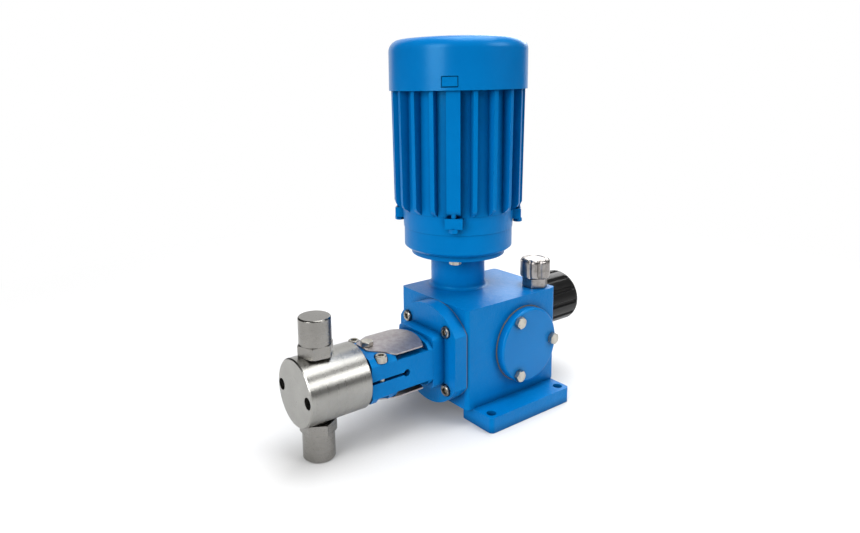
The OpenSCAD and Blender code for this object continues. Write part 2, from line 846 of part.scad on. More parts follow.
module lantern_gasket() {
    color(gasket_grey) difference() {
        lantern_plate(lantern_x1, case_x0);
        on_plunger_axis() bar_x(lantern_bore_r, lantern_x1 - 1, case_x0 + 1);
        at_lantern_screws() bar_x(m6_d / 2 + screw_gap, lantern_x1 - 1, case_x0 + 1);
    }
}

module lantern_screws() {
    shank = lantern_flange_t - lantern_sink + gasket_t + case_wall;
    color(steel) at_lantern_screws() translate([pad_x1 + lantern_sink, 0, 0]) rotate([0, -90, 0])
        socket_screw(shank);
}

module clamp_screws() {
    color(steel) for (y = [-1, 1]) on_plunger_axis()
        translate([screw_x, y * clamp_screw_off, clamp_seat]) socket_screw(2 * clamp_seat);
}

// Outline of a guard seen from above, nose at x = 0
module guard_outline() {
    intersection() {
        polygon([[0, -guard_nose], [guard_taper, -guard_half], [guard_l, -guard_half],
                 [guard_l, guard_half], [guard_taper, guard_half], [0, guard_nose]]);
        union() {
            square([2 * (guard_l - guard_round), 4 * guard_half], center = true);
            translate([guard_l - guard_round, 0]) circle(r = guard_round, $fn = 96);
        }
    }
}

module guard() {
    difference() {
        intersection() {
            translate([0, 0, guard_rise - guard_bend]) difference() {
                bar_x(guard_bend, 0, guard_l);
                bar_x(guard_bend - guard_t, -1, guard_l + 1);
            }
            linear_extrude(height = guard_rise + 1) guard_outline();
        }
        translate([clamp_screw_x - guard_front, 0, 0]) cylinder(r = m6_d / 2 + screw_gap, h = guard_bend);
    }
}

module guard_top() {
    color(stainless) on_plunger_axis() translate([lantern_x0 + guard_front, 0, 0]) guard();
}

module guard_bottom() {
    color(stainless) on_plunger_axis() mirror([0, 0, 1]) translate([lantern_x0 + guard_front, 0, 0]) guard();
}

module guard_screws() {
    color(steel) on_plunger_axis() for (side = [0, 1]) mirror([0, 0, side])
        translate([screw_x, 0, guard_rise + eps]) hexagon(hex_af, hex_h);
    color(steel) on_plunger_axis() for (side = [0, 1]) mirror([0, 0, side])
        translate([screw_x, 0, clamp_bore_r + 1.4])
            cylinder(r = m6_d / 2 - 0.4, h = guard_rise - clamp_bore_r - 1.4 + 2 * eps);
}

module pump_head() {
    color(stainless) difference() {
        on_plunger_axis() {
            translate([head_x0, 0, 0]) rotate([0, 90, 0]) rotate_extrude() polygon([
                [0, 0], [head_r - head_chamfer, 0], [head_r, head_chamfer],
                [head_r, head_l - head_chamfer], [head_r - head_chamfer, head_l], [0, head_l]]);
            bar_x(clamp_bore_r - run_gap, head_x1 - 1, spigot_x1);
        }
        on_plunger_axis() {
            bar_x(chamber_r, valve_axis_x - chamber_r, packing_x0 + 1);
            bar_x(packing_r, packing_x0, spigot_x1 + 1);
            for (y = [-1, 1]) translate([0, y * head_hole_off, 0])
                bar_x(head_hole_d / 2, head_x0 - 1, head_x0 + head_hole_l);
        }
        translate([valve_axis_x, plunger_y, axis_z]) for (side = [0, 1]) mirror([0, 0, side]) {
            cylinder(r = flow_r, h = head_r);
            translate([0, 0, hex_seat_z - stub_l]) cylinder(r = stub_r, h = stub_l + 1);
            translate([0, 0, hex_seat_z]) cylinder(r = valve_af / 2 / cos(30) + 0.6, h = 5);
        }
    }
}

module packing_rings() {
    color(gasket_grey) on_plunger_axis() for (i = [0 : 3])
        translate([packing_x0 + i * packing_l / 4, 0, 0]) rotate([0, 90, 0])
            ring(packing_r - 0.02, plunger_r + run_gap, packing_l / 4 - 0.1);
}

module gland_nut() {
    color(stainless) on_plunger_axis() difference() {
        union() {
            bar_x(packing_r - 0.03, gland_x0, spigot_x1 + 1);
            bar_x(gland_flange_r, spigot_x1 + 0.4, spigot_x1 + gland_flange_t);
        }
        bar_x(plunger_r + run_gap, gland_x0 - 1, spigot_x1 + gland_flange_t + 1);
        for (a = [45 : 90 : 315]) rotate([a, 0, 0]) translate([0, 0, gland_flange_r])
            block([spigot_x1 + 1.5, -2, -3], [spigot_x1 + gland_flange_t + 1, 2, 1]);
    }
}

// Hexagon with chamfered corners
module chamfered_hexagon(af, h) {
    r = af / 2 / cos(30);
    intersection() {
        hexagon(af, h);
        rotate_extrude() polygon([[0, 0], [r - chamfer_w, 0], [r, chamfer_w * 0.6],
                                  [r, h - chamfer_w * 0.6], [r - chamfer_w, h], [0, h]]);
    }
}

// Discharge valve body, z = 0 at its seat on the head
module discharge_shape() {
    top = valve_hex_h + valve_h - cap_end - 0.5;
    difference() {
        union() {
            rotate([0, 0, discharge_turn]) chamfered_hexagon(valve_af, valve_hex_h);
            translate([0, 0, -stub_l + 0.3]) cylinder(r = stub_r - 0.05, h = stub_l + 1);
            translate([0, 0, valve_hex_h - 1]) rotate_extrude() polygon([
                [0, 0], [outlet_r, 0], [outlet_r, top - valve_hex_h + 1 - chamfer_w],
                [outlet_r - chamfer_w, top - valve_hex_h + 1], [0, top - valve_hex_h + 1]]);
        }
        translate([0, 0, -stub_l]) cylinder(r = flow_r + 0.2, h = top + stub_l + 1);
        cylinder(r = ball_r + 1.6, h = seat_t + 2 * ball_r + ball_lift + 1.5);
    }
}

module discharge_valve_body() {
    color(stainless) translate([valve_axis_x, plunger_y, discharge_z]) discharge_shape();
}

// Cap screwed over the outlet until a pipe goes there
module discharge_cap() {
    color(stainless) translate([valve_axis_x, plunger_y, discharge_z + valve_hex_h]) rotate_extrude()
        polygon([[outlet_r + 0.05, 0], [valve_r, 0], [valve_r, valve_h - chamfer_w],
                 [valve_r - chamfer_w, valve_h], [0, valve_h], [0, valve_h - cap_end],
                 [outlet_r + 0.05, valve_h - cap_end]]);
}

// Seat ring with a passage, z = 0 at its underside
module seat_ring() {
    ring(ball_r + 1.55, flow_r, seat_t);
}

module discharge_valve_seat() {
    color(steel) translate([valve_axis_x, plunger_y, discharge_z + 0.05]) seat_ring();
}

// Suction valve body, z = 0 at its seat under the head
module suction_shape() {
    low = -valve_hex_h - suction_h;
    cage = seat_t + 2 * ball_r + ball_lift + 1.5;
    difference() {
        union() {
            rotate([0, 0, 30]) translate([0, 0, -valve_hex_h]) chamfered_hexagon(valve_af, valve_hex_h);
            translate([0, 0, -1]) cylinder(r = stub_r - 0.05, h = stub_l + 0.7);
            translate([0, 0, low]) rotate_extrude() polygon([
                [0, 0], [valve_r - chamfer_w, 0], [valve_r, chamfer_w],
                [valve_r, suction_h + 1], [0, suction_h + 1]]);
        }
        translate([0, 0, low]) cylinder(r = flow_r + 0.2, h = stub_l - low);
        translate([0, 0, low + port_l + 3]) cylinder(r = ball_r + 1.6, h = cage);
        translate([0, 0, low - 1]) cylinder(r = port_r, h = port_l + 1);
    }
}

module suction_valve_body() {
    color(stainless) translate([valve_axis_x, plunger_y, suction_z]) suction_shape();
}

module suction_valve_seat() {
    color(steel) translate([valve_axis_x, plunger_y, suction_seat_z + 0.05]) seat_ring();
}

module discharge_ball() {
    color(steel) translate([valve_axis_x, plunger_y, discharge_z + seat_t + ball_rise])
        sphere(r = ball_r);
}

module suction_ball() {
    color(steel) translate([valve_axis_x, plunger_y, suction_seat_z + seat_t + ball_rise])
        sphere(r = ball_r);
}

module motor_flange() {
    color(paint_blue) difference() {
        on_motor_axis() translate([0, 0, neck_top]) rotate_extrude() polygon([
            [motor_shaft_r + 4, 0], [motor_flange_r - 3.1, 0], [motor_flange_r, 2.6],
            [motor_flange_r, motor_flange_h], [motor_cavity_r, motor_flange_h],
            [motor_cavity_r, flange_web], [motor_shaft_r + 4, flange_web]]);
        at_neck_bolts() translate([0, 0, neck_top - 1]) cylinder(r = m6_d / 2 + screw_gap, h = flange_web + 2);
    }
}

module motor_flange_bolts() {
    color(steel) at_neck_bolts() translate([0, 0, case_top + neck_h]) mirror([0, 0, 1])
        hex_bolt(hex_af, hex_h, m6_d, neck_flange_t + flange_web);
}

// Lug for a tie bolt, radial along X
module tie_lug(h) {
    block([-tie_r + frame_r - 6, -lug_w / 2, 0], [3.1, lug_w / 2, h]);
}

module drive_end_shield() {
    color(paint_blue) difference() {
        union() {
            on_motor_axis() translate([0, 0, shield_z]) {
                rotate_extrude() polygon([[0, 0], [shield_r, 0], [shield_r + 1, shield_h], [0, shield_h]]);
                translate([0, 0, -4]) cylinder(r = motor_cavity_r - 0.05, h = 5);
            }
            at_tie_bolts() translate([0, 0, frame_z - lug_h]) tie_lug(lug_h);
        }
        on_motor_axis() {
            translate([0, 0, low_bearing_z + 1]) ring(frame_r - frame_wall, motor_bearing_r + 4.5, shield_h);
            translate([0, 0, low_bearing_z]) cylinder(r = motor_bearing_r, h = shield_h);
            translate([0, 0, shield_z - 5]) cylinder(r = motor_shaft_r + 2, h = shield_h);
            translate([0, 0, shield_z - 5]) ring(motor_cavity_r - 5, motor_bearing_r + 3, 5);
            translate([0, 0, low_bearing_z + motor_bearing_w]) cylinder(r = frame_r - frame_wall, h = 20);
        }
        at_tie_bolts() translate([0, 0, frame_z - lug_h - 1])
            cylinder(r = tie_d / 2 + screw_gap, h = lug_h + 2);
    }
}

// Fin outline in the plane of its height and its radius
module fin_profile() {
    polygon([[frame_r - 2, 0], [frame_r - 0.3, 0], [fin_r_bottom - 1.4, 4.1], [fin_r_bottom + 0.2, 7.5],
             [fin_r_top, frame_l], [frame_r - 2, frame_l]]);
}

module motor_frame() {
    color(paint_blue) difference() {
        on_motor_axis() translate([0, 0, frame_z]) {
            cylinder(r = frame_r, h = frame_l);
            for (i = [0 : fin_count - 1]) {
                angle = (i + 0.5) * 360 / fin_count;
                wide = (i - 2) % (fin_count / 4) == 0;
                rotate([90, 0, angle]) linear_extrude(height = wide ? rib_w : fin_t, center = true)
                    fin_profile();
            }
            rotate([0, 0, 45]) block([frame_r - 3, -tbox_w / 3, tbox_z0 + tbox_h / 7 - frame_z],
                                     [tbox_x0, tbox_w / 3, tbox_z0 + tbox_h * 6 / 7 - frame_z]);
        }
        on_motor_axis() translate([0, 0, frame_z - 1]) cylinder(r = frame_r - frame_wall, h = frame_l + 2);
        at_tie_bolts() translate([0, 0, frame_z - 1]) cylinder(r = tie_d / 2 + screw_gap, h = frame_l + 2);
        in_box_frame() translate([0, 0, tbox_h / 2]) bar_x(9, frame_r - frame_wall - 5, tbox_x0 + 1);
    }
}

module stator() {
    core_r = rotor_r + air_gap;
    color(steel) on_motor_axis() translate([0, 0, core_z]) ring(frame_r - frame_wall - 0.02, core_r, core_l);
    color(copper) on_motor_axis() for (z = [core_z - 10, core_z + core_l]) translate([0, 0, z])
        ring(frame_r - frame_wall - 4, core_r + 1.5, 10);
}

module rear_end_shield() {
    color(paint_blue) difference() {
        union() {
            on_motor_axis() translate([0, 0, frame_top]) {
                cylinder(r = frame_r, h = plate_h);
                cylinder(r = motor_bearing_r + 4.5, h = rear_shield_h);
                translate([0, 0, -5]) ring(frame_r - frame_wall - 0.05, frame_r - frame_wall - 5, 6);
                for (a = cowl_angles) rotate([0, 0, a])
                    block([frame_r - 4, -6, 0], [cowl_r - cowl_t - 0.2, 6, cowl_lug_h]);
                rotate([0, 0, snap_angle]) translate([0, snap_mid, 0])
                    block([tie_r + 1, -snap_w / 2 + snap_gap, 0],
                          [cowl_r - 0.3, snap_w / 2 - snap_gap, snap_h - 1 - snap_gap]);
            }
            at_tie_bolts() translate([0, 0, frame_top]) tie_lug(plate_h);
        }
        on_motor_axis() {
            translate([0, 0, frame_top - 1]) cylinder(r = motor_bearing_r, h = motor_bearing_w + 1);
            translate([0, 0, frame_top]) cylinder(r = motor_shaft_r + 1, h = rear_shield_h + 1);
        }
        at_tie_bolts() {
            translate([0, 0, frame_top - 1]) cylinder(r = tie_d / 2 + screw_gap, h = plate_h + 2);
            translate([0, 0, frame_top + plate_h]) cylinder(r = hex_tie_af / 2 / cos(30) + 0.2, h = 8);
        }
        at_cowl_screws() bar_x(cowl_screw_r + 0.05, -cowl_screw_l - 1, 1);
    }
}

module tie_bolts() {
    color(steel) at_tie_bolts() {
        translate([0, 0, frame_z - lug_h]) mirror([0, 0, 1])
            hex_bolt(hex_tie_af, 3.8, tie_d, lug_h + frame_l + plate_h);
        translate([0, 0, frame_top + plate_h]) hexagon(hex_tie_af, 4);
    }
}

// Half section of a round cup that is open below
module cup_profile(r, h, round_r) {
    square([r - round_r, h]);
    square([r, h - round_r]);
    translate([r - round_r, h - round_r]) circle(r = round_r);
}

module at_cowl_screws() {
    for (a = cowl_angles)
        on_motor_axis() translate([0, 0, frame_top + cowl_screw_rise]) rotate([0, 0, a])
            translate([cowl_r - cowl_t - 0.1, 0, 0]) children();
}

module fan_cowl() {
    color(paint_blue) difference() {
        on_motor_axis() translate([0, 0, cowl_z0]) rotate_extrude($fn = 96) intersection() {
            cup_profile(cowl_r, cowl_h, cowl_round);
            square([cowl_r + 1, cowl_h + 1]);
        }
        on_motor_axis() translate([0, 0, cowl_z0 - 1]) rotate_extrude($fn = 96) intersection() {
            cup_profile(cowl_r - cowl_t, cowl_h - cowl_t + 1, cowl_round - cowl_t);
            square([cowl_r + 1, cowl_h + 1]);
        }
        on_motor_axis() for (row = [1 : 3], i = [0 : 6 * row])
            rotate([0, 0, i * 360 / (6 * row + 1)])
                translate([cowl_r / 6 * row + 3, 0, cowl_top - cowl_t - 1]) cylinder(r = 2.8, h = cowl_t + 2);
        at_cowl_screws() bar_x(cowl_screw_r + 0.45, -2, 4);
        on_motor_axis() rotate([0, 0, snap_angle]) translate([0, snap_mid, snap_z])
            block([cowl_r - 5, -snap_w / 2, 0], [cowl_r + 1, snap_w / 2, snap_h]);
    }
}

module cowl_screws() {
    color(steel) at_cowl_screws() {
        bar_x(cowl_screw_r, -cowl_screw_l, cowl_t + 0.2);
        bar_x(2 * cowl_screw_r, cowl_t + 0.1, cowl_t + 2);
    }
}

// Space of the terminal box, x outwards from the motor axis
module tbox_shell() {
    round_block([tbox_x0, -tbox_w / 2, 0], [tbox_x0 + tbox_d, tbox_w / 2, tbox_h], 3);
}

module at_tbox_screws() {
    for (y = [-1, 1], z = [tbox_screw_in, tbox_h - tbox_screw_in])
        in_box_frame() translate([tbox_x0 + tbox_d + tbox_lid_t, y * (tbox_w / 2 - tbox_screw_in), z])
            children();
}

module terminal_box() {
    posts = tbox_screw_in + 4;
    color(paint_blue) difference() {
        in_box_frame() tbox_shell();
        in_box_frame() difference() {
            block([tbox_x0 + tbox_wall, -tbox_w / 2 + tbox_wall, tbox_wall],
                  [tbox_x0 + tbox_d + 1, tbox_w / 2 - tbox_wall, tbox_h - tbox_wall]);
            for (y = [-1, 1], z = [tbox_screw_in, tbox_h - tbox_screw_in])
                translate([0, y * (tbox_w / 2 - tbox_screw_in), z])
                    bar_x(posts / 2, tbox_x0, tbox_x0 + tbox_d + 2);
        }
        in_box_frame() {
            translate([0, 0, tbox_h / 2]) bar_x(9, tbox_x0 - 1, tbox_x0 + tbox_wall + 1);
            translate([tbox_x0 + tbox_d / 2, 0, -1]) cylinder(r = gland_r, h = tbox_wall + 2);
        }
        at_tbox_screws() bar_x(1.95, -tbox_lid_t - 10, 1);
    }
}

module terminal_box_lid() {
    color(paint_blue) difference() {
        in_box_frame() translate([tbox_d, 0, 0]) round_block([tbox_x0, -tbox_w / 2, 0],
            [tbox_x0 + tbox_lid_t, tbox_w / 2, tbox_h], 3);
        in_box_frame() block([tbox_x0 + tbox_d - 1, -tbox_w / 2 + 10, 10],
                             [tbox_x0 + tbox_d + tbox_lid_t - tbox_wall, tbox_w / 2 - 10, tbox_h - 10]);
        at_tbox_screws() bar_x(2.1, -tbox_lid_t - 1, 1);
    }
}

module terminal_box_screws() {
    color(steel) at_tbox_screws() {
        bar_x(3.5, 0, 2.4);
        bar_x(1.9, -tbox_lid_t - 9, 0.5);
    }
}

module cable_gland() {
    color(black) in_box_frame() translate([tbox_x0 + tbox_d / 2, 0, 0]) difference() {
        union() {
            cylinder(r = gland_r - 0.05, h = tbox_wall + 2);
            translate([0, 0, -6]) hexagon(2 * gland_r + 4, 6);
            translate([0, 0, -2 * gland_r]) rotate_extrude() polygon([
                [0, 0], [gland_r - 2, 0], [gland_r + 1, 4], [gland_r + 1, 1.5 * gland_r], [0, 1.5 * gland_r]]);
        }
        translate([0, 0, -2 * gland_r - 1]) cylinder(r = gland_r / 2, h = 2 * gland_r + tbox_wall + 4);
    }
}

module motor_bearings() {
    color(steel) on_motor_axis() {
        translate([0, 0, low_bearing_z])
            ring(motor_bearing_r - 0.02, motor_shaft_r + run_gap, motor_bearing_w);
        translate([0, 0, frame_top])
            ring(motor_bearing_r - 0.02, motor_shaft_r + run_gap, motor_bearing_w - 0.02);
    }
}

module worm_bearings() {
    color(steel) on_motor_axis() {
        translate([0, 0, worm_low_z]) ring(worm_low_r - 0.02, journal_r + run_gap, worm_low_w);
        translate([0, 0, worm_high_z]) ring(worm_high_r - 0.02, journal_r + run_gap, worm_high_w);
    }
}

module shaft_bearings() {
    color(steel) on_crank_axis() difference() {
        union() {
            bar_y(near_bearing_r - 0.02, near_bearing_y, near_bearing_y + near_bearing_w);
            bar_y(far_bearing_r - 0.02, far_bearing_y, far_bearing_y + far_bearing_w);
        }
        bar_y(journal_r + run_gap, case_y0 - 20, case_y1);
    }
}

module guide_sleeve() {
    color(bronze) on_plunger_axis() difference() {
        bar_x(sleeve_r - 0.02, inner_front, sleeve_x1);
        bar_x(crosshead_r + run_gap, inner_front - 1, sleeve_x1 + 1);
    }
}

module stem_bush() {
    color(bronze) on_plunger_axis() difference() {
        bar_x(stem_r + 2.98, case_x0, inner_front);
        bar_x(stem_r + run_gap, case_x0 - 1, inner_front + 1);
    }
}

module adjuster_bush() {
    color(steel) difference() {
        translate([0, plunger_y, adjuster_z]) union() {
            bar_x(bush_r - 0.03, inner_rear, case_x1 + 1);
            bar_x(bush_flange_r, case_x1, case_x1 + bush_flange_t);
            bar_x(bush_r, case_x1, bush_x1);
        }
        translate([0, plunger_y, adjuster_z]) bar_x(spindle_r + run_gap, inner_rear - 1, bush_x1 + 1);
        at_bush_screws() bar_x(2 + screw_gap, case_x1 - 1, case_x1 + bush_flange_t + 1);
        at_bush_screws() bar_x(3.6, case_x1 + bush_flange_t - 3.5, case_x1 + bush_flange_t + 1);
    }
}

module adjuster_screws() {
    color(steel) at_bush_screws() {
        bar_x(3.5, case_x1 + bush_flange_t - 3.5, case_x1 + bush_flange_t - 0.3);
        bar_x(2, inner_rear + 1.5, case_x1 + bush_flange_t - 3);
    }
}

module oil_filler_cap() {
    flutes = 12;
    color(steel) translate([cap_x, -cap_off, case_top]) {
        translate([0, 0, -case_wall]) cylinder(r = 7.95, h = case_wall + 1);
        hexagon(cap_af, cap_neck_h);
        difference() {
            translate([0, 0, cap_neck_h]) rotate_extrude() polygon([
                [0, 0], [cap_r - 1, 0], [cap_r, 1], [cap_r, cap_h - 2.5], [cap_r - 2.5, cap_h], [0, cap_h]]);
            for (i = [0 : flutes - 1]) rotate([0, 0, i * 360 / flutes])
                translate([cap_r + 1.1, 0, cap_neck_h - 1]) cylinder(r = 2.2, h = cap_h + 2);
        }
    }
}

module drain_plug() {
    color(steel) translate([worm_x - 20, 0, foot_t + case_wall + drain_r + 3]) {
        bar_y(drain_r - 0.03, case_y1 - case_wall + 0.5, case_y1 + 0.5);
        translate([0, case_y1, 0]) rotate([-90, 0, 0]) hexagon(2 * drain_r + 5, 6);
    }
}

module motor_shaft() {
    color(steel) on_motor_axis() {
        translate([0, 0, worm_top_z + 1]) cylinder(r = motor_shaft_r - 0.5, h = shield_z - worm_top_z);
        translate([0, 0, shield_z]) cylinder(r = motor_shaft_r, h = frame_top + rear_shield_h + 2 - shield_z);
        translate([0, 0, fan_z - 2.1]) cylinder(r = fan_bore_r, h = fan_end_l);
    }
}

module rotor_core() {
    color(steel) on_motor_axis() {
        translate([0, 0, core_z]) ring(rotor_r, motor_shaft_r, core_l);
        for (z = [core_z - 5, core_z + core_l]) translate([0, 0, z])
            ring(rotor_r - 2, motor_shaft_r + 6, 5);
    }
}

module cooling_fan() {
    color(black) on_motor_axis() translate([0, 0, fan_z]) difference() {
        union() {
            cylinder(r = fan_hub_r, h = fan_h + 2);
            cylinder(r = fan_r - 2, h = 2.4);
            for (i = [0 : blade_count - 1]) rotate([0, 0, i * 360 / blade_count])
                block([fan_hub_r - 2, -1.1, 0], [fan_r, 1.1, fan_h]);
        }
        translate([0, 0, -1]) cylinder(r = fan_bore_r, h = fan_end_l);
    }
}

module shaft_coupling() {
    color(steel) on_motor_axis() difference() {
        translate([0, 0, worm_top_z + 0.5 - joint_l / 2]) cylinder(r = joint_r, h = joint_l);
        translate([0, 0, worm_top_z - 0.5 - joint_l / 2]) cylinder(r = journal_r, h = joint_l / 2 + 2);
        translate([0, 0, worm_top_z + 0.5]) cylinder(r = motor_shaft_r - 0.5, h = joint_l);
    }
}

// Radius of the thread at a distance along the axis from its middle
function thread_radius(s) =
    s < thread_crest ? worm_tip_r :
    s < thread_foot ? worm_tip_r - (s - thread_crest) / (thread_foot - thread_crest) * (worm_tip_r - worm_root_r) :
    worm_root_r;

// Cross-section of the worm, thread centred on +X
module worm_profile() {
    n = 20;
    polygon([for (k = [0 : n - 1])
        let (turn = k / n, r = thread_radius(pitch_axial * min(turn, 1 - turn)))
        [r * cos(360 * turn), r * sin(360 * turn)]]);
}

// Helix of a closed section of [radius, height] points, around Z, starting at z = 0
module helix(section, lead, turns, steps) {
    n = len(section);
    rings = floor(turns * steps);
    points = [for (i = [0 : rings], p = section)
        let (a = i * 360 / steps)
        [p[0] * cos(a), p[0] * sin(a), p[1] + lead * i / steps]];
    sides = [for (i = [0 : rings - 1], k = [0 : n - 1], half = [0, 1])
        let (a = i * n + k, b = i * n + (k + 1) % n)
        half == 0 ? [a, a + n, b + n] : [a, b + n, b]];
    ends = [[for (k = [0 : n - 1]) k], [for (k = [n - 1 : -1 : 0]) rings * n + k]];
    polyhedron(points = points, faces = concat(sides, ends), convexity = 10);
}

module worm() {
    turns = worm_l / pitch_axial;
    color(steel) on_motor_axis() {
        translate([0, 0, worm_low_z + 0.5]) cylinder(r = journal_r, h = worm_top_z - worm_low_z - 0.5);
        translate([0, 0, axis_z - worm_l / 2]) rotate([0, 0, 180 - 180 * turns])
            linear_extrude(height = worm_l, twist = -360 * turns, slices = ceil(16 * turns), $fn = 20)
                worm_profile();
    }
}

// Angle of the involute, and half the angle of a wheel tooth, at a radius
function involute(r) = tan(acos(wheel_base_r / r)) * 180 / PI - acos(wheel_base_r / r);
function flank_angle(r) = tooth_half_angle + involute(wheel_r) - (r > wheel_base_r ? involute(r) : 0);

module wheel_profile() {
    radii = [wheel_root_r, wheel_base_r, wheel_r, (wheel_r + wheel_tip_r) / 2, wheel_tip_r];
    points = [for (i = [0 : wheel_teeth - 1], side = [-1, 1], k = [0 : 4])
        let (r = side < 0 ? radii[k] : radii[4 - k], a = i * 360 / wheel_teeth + side * flank_angle(r))
        [r * cos(a), r * sin(a)]];
    polygon(points);
}

module worm_wheel() {
    color(bronze) on_crank_axis() translate([0, worm_y, 0]) rotate([-90, 0, 0]) difference() {
        union() {
            rotate([0, 0, -wheel_twist / 2])
                linear_extrude(height = wheel_w, center = true, twist = -wheel_twist, slices = 4)
                    wheel_profile();
            translate([0, 0, -wheel_w / 2 - 3]) cylinder(r = 9.5, h = wheel_w / 2 + 3);
        }
        cylinder(r = journal_r, h = 2 * wheel_w + 10, center = true);
    }
}

module eccentric_shaft() {
    ecc_y0 = plunger_y - ring_w / 2;
    ecc_y1 = plunger_y + ring_w / 2;
    color(steel) on_crank_axis() {
        bar_y(journal_r, near_bearing_y + 0.3, far_bearing_y + far_bearing_w - 0.5);
        bar_y(shoulder_r, near_bearing_y + near_bearing_w + 0.3, ecc_y0);
        bar_y(shoulder_r, ecc_y1, worm_y - wheel_w / 2 - 3);
        translate([throw, 0, 0]) bar_y(eccentric_r, ecc_y0, ecc_y1);
    }
}

module eccentric_ring() {
    color(steel) on_crank_axis() translate([throw, 0, 0]) difference() {
        bar_y(ring_r, plunger_y - ring_w / 2, plunger_y + ring_w / 2);
        bar_y(eccentric_r + 0.02, plunger_y - ring_w, plunger_y + ring_w);
    }
}

module crosshead() {
    color(steel) on_plunger_axis() {
        difference() {
            bar_x(crosshead_r, crosshead_x0, crosshead_x1);
            bar_x(crosshead_r - 3, crosshead_x0 - 1, crosshead_x1 - crosshead_t);
        }
        bar_x(stem_r, stem_x0, crosshead_x1 - 1);
    }
}

module stop_yoke() {
    color(steel) on_plunger_axis() {
        for (y = [-1, 1]) translate([0, y * rod_off, rod_rise]) {
            bar_x(rod_r, crosshead_x1, crossbar_x0 + 1);
            block([crossbar_x0, -rod_r, -rod_r], [crossbar_x0 + crossbar_t, rod_r, rod_r]);
        }
        translate([0, 0, -axis_z]) block([crossbar_x0, -rod_off - rod_r, crossbar_z0],
            [crossbar_x0 + crossbar_t, rod_off + rod_r, adjuster_z + spindle_r]);
    }
}

module plunger() {
    color(stainless) on_plunger_axis() bar_x(plunger_r, plunger_x0, stem_x0);
}

module plunger_coupling() {
    color(stainless) on_plunger_axis() difference() {
        bar_x(coupling_r, stem_x0 - coupling_l / 2, stem_x0 + coupling_l / 2);
        bar_x(plunger_r, stem_x0 - coupling_l, stem_x0);
        bar_x(stem_r, stem_x0 - 1, stem_x0 + coupling_l);
        for (a = [0 : 60 : 300]) rotate([a, 0, 0]) translate([stem_x0, 0, coupling_r + 0.4])
            bar_x(1.6, -coupling_l, coupling_l);
    }
}

module return_spring() {
    r_mid = spring_r - wire_d / 2;
    lead = (spring_x1 - spring_x0 - wire_d) / spring_turns;
    sides = 8;
    section = [for (k = [0 : sides - 1])
        [r_mid + wire_d / 2 * cos(k * 360 / sides), wire_d / 2 * sin(k * 360 / sides)]];
    color(steel) on_plunger_axis() translate([spring_x0 + wire_d / 2, 0, 0]) rotate([0, 90, 0])
        helix(section, lead, spring_turns, 24);
}

module adjuster_spindle() {
    color(steel) translate([0, plunger_y, adjuster_z]) bar_x(spindle_r, nose_x, spindle_x1);
}

module stroke_knob() {
    color(black) translate([0, plunger_y, adjuster_z]) difference() {
        translate([knob_x0, 0, 0]) rotate([0, 90, 0]) rotate_extrude() {
            square([knob_r - 5, knob_l]);
            translate([0, 1]) square([knob_r, knob_l - 6]);
            square([knob_r - 1, knob_l - 6]);
            translate([knob_r - 5, knob_l - 5]) circle(r = 5);
        }
        bar_x(bush_flange_r + 2.6, knob_x0 - 1, knob_hub_x0);
        bar_x(bush_r + run_gap, knob_x0, bush_x1 + 0.5);
        bar_x(spindle_r + run_gap, bush_x1, spindle_x1 + 2);
        for (i = [0 : knob_grooves - 1]) rotate([(i + 0.5) * 360 / knob_grooves, 0, 0])
            translate([0, 0, knob_r + groove_w / 2 - groove_depth])
                bar_x(groove_w / 2, knob_x0 + 6, knob_x1 - 8);
    }
}

gearbox_housing();
side_cover();
side_cover_gasket();
side_cover_bolts();
lantern();
lantern_gasket();
lantern_screws();
clamp_screws();
guard_top();
guard_bottom();
guard_screws();
pump_head();
packing_rings();
gland_nut();
discharge_valve_body();
discharge_valve_seat();
suction_valve_body();
suction_valve_seat();
discharge_cap();
discharge_ball();
suction_ball();
motor_flange();
motor_flange_bolts();
drive_end_shield();
motor_frame();
stator();
rear_end_shield();
fan_cowl();
cowl_screws();
tie_bolts();
terminal_box();
terminal_box_lid();
terminal_box_screws();
cable_gland();
motor_bearings();
worm_bearings();
shaft_bearings();
guide_sleeve();
stem_bush();
adjuster_bush();
adjuster_screws();
oil_filler_cap();
drain_plug();
motor_shaft();
rotor_core();
cooling_fan();
shaft_coupling();
worm();
worm_wheel();
eccentric_shaft();
eccentric_ring();
crosshead();
stop_yoke();
plunger();
plunger_coupling();
return_spring();
adjuster_spindle();
stroke_knob();
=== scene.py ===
"""Looks of the plunger metering pump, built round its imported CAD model. Lengths are in metres."""

import json
import math

import bmesh
import bpy
import numpy as np
from mathutils import Matrix, Vector

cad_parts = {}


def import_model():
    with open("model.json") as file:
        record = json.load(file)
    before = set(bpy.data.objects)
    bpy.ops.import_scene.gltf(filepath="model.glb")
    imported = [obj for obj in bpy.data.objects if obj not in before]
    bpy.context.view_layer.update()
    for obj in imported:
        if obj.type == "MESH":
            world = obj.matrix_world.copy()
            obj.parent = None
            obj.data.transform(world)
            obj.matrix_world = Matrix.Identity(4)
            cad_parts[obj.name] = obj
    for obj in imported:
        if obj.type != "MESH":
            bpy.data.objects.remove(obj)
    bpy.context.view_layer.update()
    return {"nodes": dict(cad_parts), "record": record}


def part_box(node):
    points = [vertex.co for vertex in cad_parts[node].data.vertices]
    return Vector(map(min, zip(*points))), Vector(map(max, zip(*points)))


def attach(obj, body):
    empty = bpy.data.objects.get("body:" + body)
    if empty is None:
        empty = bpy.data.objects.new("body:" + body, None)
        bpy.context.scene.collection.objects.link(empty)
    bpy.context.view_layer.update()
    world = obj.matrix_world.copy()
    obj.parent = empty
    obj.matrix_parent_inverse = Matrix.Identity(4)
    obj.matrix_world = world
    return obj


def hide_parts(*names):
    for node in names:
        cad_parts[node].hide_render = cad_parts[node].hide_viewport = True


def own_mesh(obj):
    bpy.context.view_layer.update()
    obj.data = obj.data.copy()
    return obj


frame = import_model()
MM = 0.001
